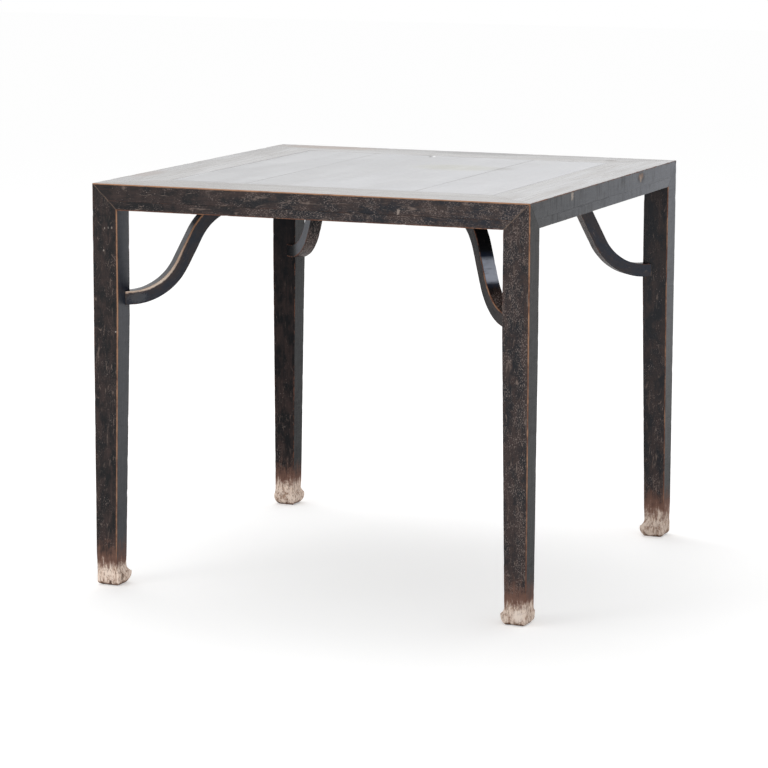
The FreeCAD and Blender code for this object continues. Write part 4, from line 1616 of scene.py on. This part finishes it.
@dataclass
class Legs:
    """The four legs: square, tapered to the ankle, with a hoof on the inner faces."""

    finishes: Finishes
    hoof_flare: float = 8 * MM
    tip_height: float = 24 * MM
    toe_radius: float = 30 * MM
    sole: float = 45 * MM
    foot_round: float = 10.5 * MM
    edge_radius: float = 1.3 * MM
    end_radius: float = 0.5 * MM
    spacing: float = 4 * MM
    # the worn part of the foot, how deep its chips and cracks are at the floor, and how large
    # they are along, across and off the leg
    worn_height: float = 70 * MM
    chip_depth: float = 4.5 * MM
    crack_depth: float = 0.8 * MM
    chip_cell: Triple = (0.016, 0.011, 0.011)
    crack_cell: Triple = (0.02, 0.0035, 0.0035)
    # how high the pale wood of a foot reaches, and the brown above it
    reach: dict[str, tuple[float, float]] = field(default_factory=lambda: {
        "front_left": (41 * MM, 57 * MM), "front_right": (42 * MM, 55 * MM),
        "back_right": (45 * MM, 80 * MM), "back_left": (52 * MM, 64 * MM),
    })
    # where the last of the foot's brown ends
    haze_top: float = 160 * MM
    # looks of the faces towards the front and the back, at the foot and at the top, and of
    # those towards the sides
    looks: dict[str, tuple[Look, Look, Look, Look]] = field(default_factory=lambda: {
        "front_left": (Look(0.70, 0.28, 0.2), Look(0.64, 0.33, 0.2),
                       Look(0.08, 0.44, 0.3), Look(0.08, 0.58, 0.3)),
        "front_right": (Look(1.0, 0.39, 0.2), Look(1.05, 0.41, 0.2),
                        Look(0.1, 0.19, 0.3), Look(0.1, 0.29, 0.3)),
        "back_right": (Look(0.75, 0.40, 0.2), Look(0.5, 0.42, 0.2),
                       Look(0.05, 0.10, 0.4), Look(0.05, 0.68, 0.4)),
        "back_left": (Look(0.80, 0.15, 0.1), Look(0.0, 0.0, 0.1),
                      Look(0.08, 0.10, 0.3), Look(0.08, 0.30, 0.3)),
    })
    # rub of the outer edge, the edge along the side, the inner edge and the edge before it
    rubs: dict[str, tuple[float, float, float, float]] = field(default_factory=lambda: {
        "front_left": (0.35, 1.0, 0.5, 0.4), "front_right": (0.8, 0.35, 0.3, 0.25),
        "back_right": (0.3, 0.35, 0.3, 0.65), "back_left": (0.4, 0.35, 0.35, 0.3),
    })
    rub_left_at_foot: float = 0.7

    def inner_profile(self, z: np.ndarray) -> np.ndarray:
        """Distance of the inner faces from the outer ones at a height.

        A toe arc from the sole to the tip, an instep arc from the tip to the ankle, then a
        straight taper to the full size just under the brace.

        Args:
            z: heights in metres.

        Returns:
            The leg's size at each height.
        """
        tip_x = SIZES.ankle_size + self.hoof_flare
        half_x, half_z = (tip_x - self.sole) / 2, self.tip_height / 2
        chord = math.hypot(half_x, half_z)
        back = math.sqrt(self.toe_radius**2 - chord**2) / chord
        toe_x = self.sole + half_x - half_z * back
        toe_z = half_z + half_x * back
        rise = SIZES.ankle_height - self.tip_height
        instep = (self.hoof_flare**2 + rise**2) / (2 * self.hoof_flare)
        toe = toe_x + np.sqrt(np.clip(self.toe_radius**2 - (z - toe_z) ** 2, 0, None))
        hollow = SIZES.ankle_size + instep - np.sqrt(
            np.clip(instep**2 - (z - SIZES.ankle_height) ** 2, 0, None)
        )
        climb = (z - SIZES.ankle_height) / (SIZES.taper_start - SIZES.ankle_height)
        taper = SIZES.ankle_size + (SIZES.leg_size - SIZES.ankle_size) * np.clip(climb, 0, 1)
        return np.where(z < self.tip_height, toe, np.where(z < SIZES.ankle_height, hollow, taper))

    def outer_profile(self, z: np.ndarray) -> np.ndarray:
        """How far the rounded foot draws the outer faces in: a quarter circle at the floor."""
        return drawn_in(z, self.foot_round)

    def section(self, quarter: Quarter) -> Section:
        """The full square of a leg, its edges rubbed as they are at that corner.

        Args:
            quarter: the corner that it stands at.

        Returns:
            The outline.
        """
        size = SIZES.leg_size
        places = ((0, 0), (size, 0), (size, size), (0, size))
        return Section.from_corners([
            Arris(x, y, self.edge_radius, rub)
            for (x, y), rub in zip(places, self.rubs[quarter.corner])
        ], self.spacing)

    def top(self, section: Section) -> np.ndarray:
        """Where a leg ends: in the mitres outside, and under the frame inside.

        In the mitres z = H - max(x, y) / run.

        Args:
            section: the leg's outline.

        Returns:
            The height of each point of the outline.
        """
        x, y = section.points.T
        far, near = np.maximum(x, y), np.minimum(x, y)
        fall = far / SIZES.mitre_run
        inside = (near > SIZES.apron_thickness) & (fall > SIZES.frame_thickness)
        return np.where(inside, SIZES.frame_bottom, SIZES.height - fall)

    def heights(self, top: np.ndarray) -> np.ndarray:
        """Heights of the rings: close together in the foot, then level up to the mitres.

        Level rings stand 1.5 mm apart in the foot and 5 mm apart above it. Above the last level
        ring a point stands at level + t * (top - level), where t runs from 0 to 1.

        Args:
            top: where each point of the outline ends.

        Returns:
            One row for each ring.
        """
        foot_top, last = 60, 760
        low = MM * np.concatenate([
            np.array([0.0, 0.3, 0.8, 1.5]),
            np.arange(2.5, foot_top, 1.5),
            np.arange(foot_top, last, 5),
        ])
        level = last * MM
        rise = stations(2 * (SIZES.height - level), 3 * MM, self.end_radius)
        rise = (rise[rise >= 0.5] - 0.5) * 2
        return np.concatenate([
            np.repeat(low[:, None], len(top), axis=1),
            level + rise[:, None] * (top[None] - level),
        ])

    def leg(self, quarter: Quarter) -> bpy.types.Object:
        """One leg, drawn from its outer corner and standing up.

        A ring at height z is the full section scaled between the outer and the inner profile.

        Args:
            quarter: the corner that it stands at.

        Returns:
            The leg.
        """
        section = self.section(quarter)
        top = self.top(section)
        z = self.heights(top)
        outer, inner = self.outer_profile(z), self.inner_profile(z)
        scale = (inner - outer) / SIZES.leg_size
        flat = outer[..., None] + section.points[None] * scale[..., None]
        from_top = top[None] - z
        flat = flat - section.normals[None] * drawn_in(from_top, self.end_radius)[..., None]
        seam = np.clip(from_top * MITRE_SLANT - self.end_radius, 0, None)
        lasting = self.rub_left_at_foot + (1 - self.rub_left_at_foot) * z / SIZES.height
        normals = np.zeros(z.shape + (3,))
        normals[..., 1:] = section.normals
        points = np.concatenate([z[..., None], flat], axis=-1)
        skin = Skin(points, normals, section.edge[None] * scale, section.rub[None] * lasting,
                    seam, points.copy())
        skin.shift_grain(quarter.turns * 1.3, 0.5, 0.2)
        low_front, high_front, low_side, high_side = self.looks[quarter.corner]
        low_pair, high_pair = [low_front, low_side], [high_front, high_side]
        if quarter.turns % 2:
            low_pair, high_pair = low_pair[::-1], high_pair[::-1]
        skin.age(low_pair * 2, high_pair * 2)
        skin.wear(WearNoise(Seed.LEG + quarter.turns))
        self.erode_foot(skin, WearNoise(Seed.FOOT + quarter.turns), z)
        # how deep in the foot: 1 on the floor, and less at the end of the pale wood, of the
        # brown and of the haze
        pale, brown = self.reach[quarter.corner]
        foot = np.interp(z, [0.0, pale, brown, self.haze_top], [1.0, 0.63, 0.5, 0.0])
        skin.stand_up()
        skin.points = SIZES.from_corner(skin.points, quarter)
        return skin.make(f"standing_leg_{quarter.corner}", foot)

    def erode_foot(self, skin: Skin, noise: WearNoise, z: np.ndarray) -> None:
        """Wear the foot: chips and hollows that deepen towards the floor.

        The depth is chips * max(0, n1) + cracks * max(0, n2) at the floor and fades evenly to
        0 at the top of the worn part, where n2 is drawn out along the leg.

        Args:
            skin: the leg's surface, lying along x.
            noise: random values.
            z: height of each point.
        """
        fade = np.clip(1 - z / self.worn_height, 0, 1)
        chips = noise.at(skin.grain, self.chip_cell)
        cracks = noise.at(skin.grain + 0.7, self.crack_cell)
        depth = self.chip_depth * np.clip(chips, 0, None)
        depth = (depth + self.crack_depth * np.clip(cracks, 0, None)) * fade
        skin.points = skin.points - skin.normals * depth[..., None]

    def build(self) -> None:
        """Build and dress the four legs."""
        for quarter in Quarter:
            dress(self.leg(quarter), self.finishes.black, "black_lacquer", f"leg_{quarter.corner}")


@dataclass
class Braces:
    """The S-shaped braces from the legs to the battens, with their wedges and pins."""

    finishes: Finishes
    width: float = 30 * MM
    depth: float = 28.5 * MM
    slope: float = math.radians(62)
    lower_bend: float = 124.5 * MM
    upper_bend: float = 118 * MM
    tail: float = 44 * MM
    clearance: float = 0.2 * MM
    edge_radius: float = 1.2 * MM
    end_radius: float = 0.8 * MM
    spacing: float = 3 * MM
    # looks of the underside, the side on the left of its run, the upper face and the other side
    looks: dict[str, tuple[Look, Look, Look, Look]] = field(default_factory=lambda: {
        "front_left": (Look(0.4, 0.2), Look(0.3, 0.3), Look(0.12, 0.58), Look(0.42, 0.58)),
        "front_right": (Look(0.4, 0.2), Look(0.3, 0.15), Look(0.15, 0.0), Look(0.3, 0.3)),
        "back_right": (Look(1.2, 0.2), Look(0.5, 0.62), Look(0.3, 0.3), Look(0.3, 0.3)),
        "back_left": (Look(1.3, 0.2), Look(0.4, 0.3), Look(0.3, 0.3), Look(0.05, 0.6)),
    })
    # rub of the two lower edges and the two upper ones, in the same turn
    rubs: dict[str, tuple[float, float, float, float]] = field(default_factory=lambda: {
        "front_left": (0.2, 0.3, 0.4, 3.2), "front_right": (0.3, 0.3, 0.75, 0.3),
        "back_right": (0.15, 0.25, 0.25, 0.3), "back_left": (0.35, 0.3, 0.3, 0.35),
    })
    # middle and half length of the polished stretch on the upper face of the front right brace:
    # a stronger coat there, and a painted reflection in its colour
    polish: tuple[float, float] = (150 * MM, 44 * MM)
    # how far up from the leg the same face is worn, and how many more flecks it has there
    scuffed: float = 95 * MM
    scuff: float = 2.2
    # how far up from the leg the back left brace has lost its gloss and its painted sheen, which
    # paints the shade on its end by the leg
    dull_shaded_end: float = 42 * MM
    # the rub of a brace falls evenly from the first value at the leg, to the second at least
    rub_along: tuple[float, float] = (1.2, 0.15)

    @property
    def start(self) -> float:
        """Where the brace meets the leg's inner corner, along the table's diagonal."""
        return (SIZES.leg_size + self.clearance) * math.sqrt(2)

    def centre_line(self) -> tuple[np.ndarray, np.ndarray, np.ndarray]:
        """The centre line: level, bend up to the slope, straight, bend back, level.

        Its angle is 0 before the first bend, s / r in it, the slope between the bends, and
        falls back the same way; x and z are the running sums of its cosine and sine.

        Returns:
            Length along the line, the points (x along the diagonal, z up) and the angle.
        """
        bends = (self.lower_bend + self.upper_bend) * (1 - math.cos(self.slope))
        straight = (SIZES.brace_drop - self.depth - bends) / math.sin(self.slope)
        first = self.lower_bend * self.slope
        second = self.upper_bend * self.slope
        total = first + straight + second + self.tail
        lead = self.width
        s = np.linspace(-lead, total, 6000)
        angle = np.clip(s / self.lower_bend, 0, self.slope)
        angle = angle - np.clip((s - first - straight) / self.upper_bend, 0, self.slope)
        pace = s[1] - s[0]
        middle = (angle[1:] + angle[:-1]) / 2
        x = np.concatenate([[0], np.cumsum(np.cos(middle))]) * pace - lead + self.start
        z = np.concatenate([[0], np.cumsum(np.sin(middle))]) * pace
        z = z + SIZES.brace_foot + self.depth / 2
        return s, np.stack([x, z], axis=1), angle

    def brace(self, quarter: Quarter) -> bpy.types.Object:
        """One brace: a section carried along the S, its foot cut over the leg's corner.

        A point across the diagonal by a starts |a| before the corner, so the foot fits it.
        A point off the line by d goes to x - d * sin(angle), z + d * cos(angle).

        Args:
            quarter: the corner that it is at.

        Returns:
            The brace.
        """
        wide, deep = self.width / 2, self.depth / 2
        corners = ((-wide, -deep), (wide, -deep), (wide, deep), (-wide, deep))
        section = Section.from_corners([
            Arris(x, y, self.edge_radius, rub)
            for (x, y), rub in zip(corners, self.rubs[quarter.corner])
        ], self.spacing)
        line_s, line, line_angle = self.centre_line()
        total = line_s[-1]
        start = -np.abs(section.points[:, 0])
        places = stations(total, self.spacing, self.end_radius)
        skin = Skin.along(section, places, start, np.full(len(start), total), self.end_radius)
        skin.shift_grain(quarter.turns * 0.9, 0.1, 0.6)
        skin.age(self.looks[quarter.corner])
        s = skin.points[..., 0]
        most, least = self.rub_along
        skin.rub = skin.rub * np.clip(most - most * s / total, least, 1)
        if quarter is Quarter.RIGHT:
            middle, half = self.polish
            upper = np.clip(skin.normals[..., 2], 0, 1)
            # more gloss on the polished stretch: a stronger coat, and a painted reflection in its
            # colour
            skin.look[..., 1] += upper * np.exp(-(((s - middle) / half) ** 4))
            skin.look[..., 0] += self.scuff * upper * np.exp(-((s / self.scuffed) ** 4))
        if quarter is Quarter.LEFT:
            # painted shade: the end by the leg loses its gloss and its painted sheen
            skin.look[..., 1] *= 1 - np.exp(-((s / self.dull_shaded_end) ** 4))
        skin.wear(WearNoise(Seed.BRACE + quarter.turns))
        s, across, off = np.moveaxis(skin.points, -1, 0)
        x, z = (np.interp(s, line_s, line[:, k]) for k in (0, 1))
        angle = np.interp(s, line_s, line_angle)
        bent = np.stack([x - off * np.sin(angle), across, z + off * np.cos(angle)], axis=-1)
        skin.points = SIZES.from_corner(bent, quarter, math.pi / 4)
        return skin.make(f"curved_brace_{quarter.corner}")

    def build(self) -> None:
        """Build the braces, and give the wedges and pins their finish."""
        for quarter in Quarter:
            dress(self.brace(quarter), self.finishes.black, "black_lacquer",
                  f"brace_{quarter.corner}")
            for kind in ("brace_wedge", "brace_pin"):
                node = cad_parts[f"{kind}_{quarter.corner}"]
                node.data.materials.clear()
                node.data.materials.append(self.finishes.bare)
                log.info("%s: CAD shape kept, in bare wood", node.name)


# ---------------------------------------------------------------- studio


@dataclass(frozen=True)
class Lamp:
    """A large square lamp aimed at the middle of the table.

    Its place and its size are in metres, and its power is in watts.
    """

    name: str
    place: Triple
    size: float
    power: float
    colour: Colour = (1.0, 1.0, 1.0)
    aim: Triple = (0.0, 0.0, 0.5)

    def hang(self) -> None:
        """Hang the lamp and turn it to its aim."""
        data = bpy.data.lights.new(self.name, "AREA")
        data.shape, data.size = "SQUARE", self.size
        data.energy, data.color = self.power, self.colour
        lamp = bpy.data.objects.new(self.name, data)
        place = Vector(self.place)
        turn = (Vector(self.aim) - place).to_track_quat("-Z", "Y").to_matrix().to_4x4()
        lamp.matrix_world = Matrix.Translation(place) @ turn
        bpy.context.scene.collection.objects.link(lamp)


@dataclass(frozen=True)
class View:
    """The camera: a long lens, a little above the top, turned to the side.

    Its place is in metres and its angles in degrees: yaw to the right of straight ahead,
    pitch down, and roll to the left.
    """

    place: Triple = (2.5323, -6.2182, 1.5152)
    yaw: float = -22.35
    pitch: float = 9.58
    roll: float = 0.17
    lens: float = 148.76
    sensor: float = 36.0

    def set_up(self) -> None:
        """Make the scene's camera."""
        yaw, pitch, roll = (math.radians(value) for value in (self.yaw, self.pitch, self.roll))
        level = math.cos(pitch)
        ahead = Vector((math.sin(yaw) * level, math.cos(yaw) * level, -math.sin(pitch)))
        right = Vector((math.cos(yaw), -math.sin(yaw), 0))
        up = right.cross(ahead)
        side = right * math.cos(roll) + up * math.sin(roll)
        head = up * math.cos(roll) - right * math.sin(roll)
        turn = Matrix((side, head, -ahead)).transposed().to_4x4()
        data = bpy.data.cameras.new("camera")
        data.lens, data.sensor_width = self.lens, self.sensor
        data.clip_start, data.clip_end = 0.1, 200.0
        camera = bpy.data.objects.new("camera", data)
        camera.matrix_world = Matrix.Translation(Vector(self.place)) @ turn
        bpy.context.scene.collection.objects.link(camera)
        bpy.context.scene.camera = camera


@dataclass
class Studio:
    """A pale floor, a white surround, soft lamps and the camera."""

    floor_size: float = 40.0
    floor_grey: float = 0.86
    floor_glow: float = 0.3
    surround: float = 0.8
    lamps: tuple[Lamp, ...] = (
        Lamp("overhead", (-1.2, 1.6, 4.2), 3.0, 55),
        Lamp("front_fill", (-3.2, -4.6, 2.2), 2.5, 45, (1.0, 0.99, 0.97)),
    )

    def floor(self) -> bpy.types.Object:
        """A flat floor, pale enough to fade into the surround, that keeps soft shadows.

        Returns:
            The floor.
        """
        half = self.floor_size / 2
        mesh = bpy.data.meshes.new("floor")
        mesh.from_pydata(
            [(-half, -half, 0), (half, -half, 0), (half, half, 0), (-half, half, 0)],
            [], [(0, 1, 2, 3)],
        )
        material, n = new_material("studio_floor")
        plain = n.add("BsdfDiffuse", {"Color": (*(self.floor_grey,) * 3, 1)})
        strength = n.times(n.seen(), self.floor_glow)
        glow = n.add("Emission", {"Color": (1, 1, 1, 1), "Strength": strength})
        both = n.add("AddShader", {0: plain.outputs[0], 1: glow.outputs[0]})
        n.add("OutputMaterial", {"Surface": both.outputs[0]})
        mesh.materials.append(material)
        floor = bpy.data.objects.new("floor", mesh)
        bpy.context.scene.collection.objects.link(floor)
        return floor

    def world(self) -> None:
        """A white surround: full white where it is seen or reflected, softer as light."""
        world = bpy.data.worlds.new("studio")
        world.use_nodes = True
        bpy.context.scene.world = world
        n = Nodes(world.node_tree)
        strength = n.span(n.seen(), self.surround, 1.0)
        sky = n.add("Background", {"Color": (1, 1, 1, 1), "Strength": strength})
        n.add("OutputWorld", {"Surface": sky.outputs[0]})

    def build(self) -> None:
        """Set the scene up round the table."""
        bpy.context.scene.view_settings.view_transform = "Standard"
        self.world()
        self.floor()
        for lamp in self.lamps:
            lamp.hang()
        View().set_up()


def main() -> None:
    """Build the studio and the table, in order."""
    logging.basicConfig(level=logging.INFO, format="%(name)s: %(message)s")
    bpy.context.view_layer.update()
    Studio().build()
    finishes = Finishes.build()
    for part in (TopFrame(finishes), Panel(finishes), Legs(finishes), Braces(finishes)):
        part.build()
        log.info("%s built", type(part).__name__)


if __name__ == "__main__":
    main()
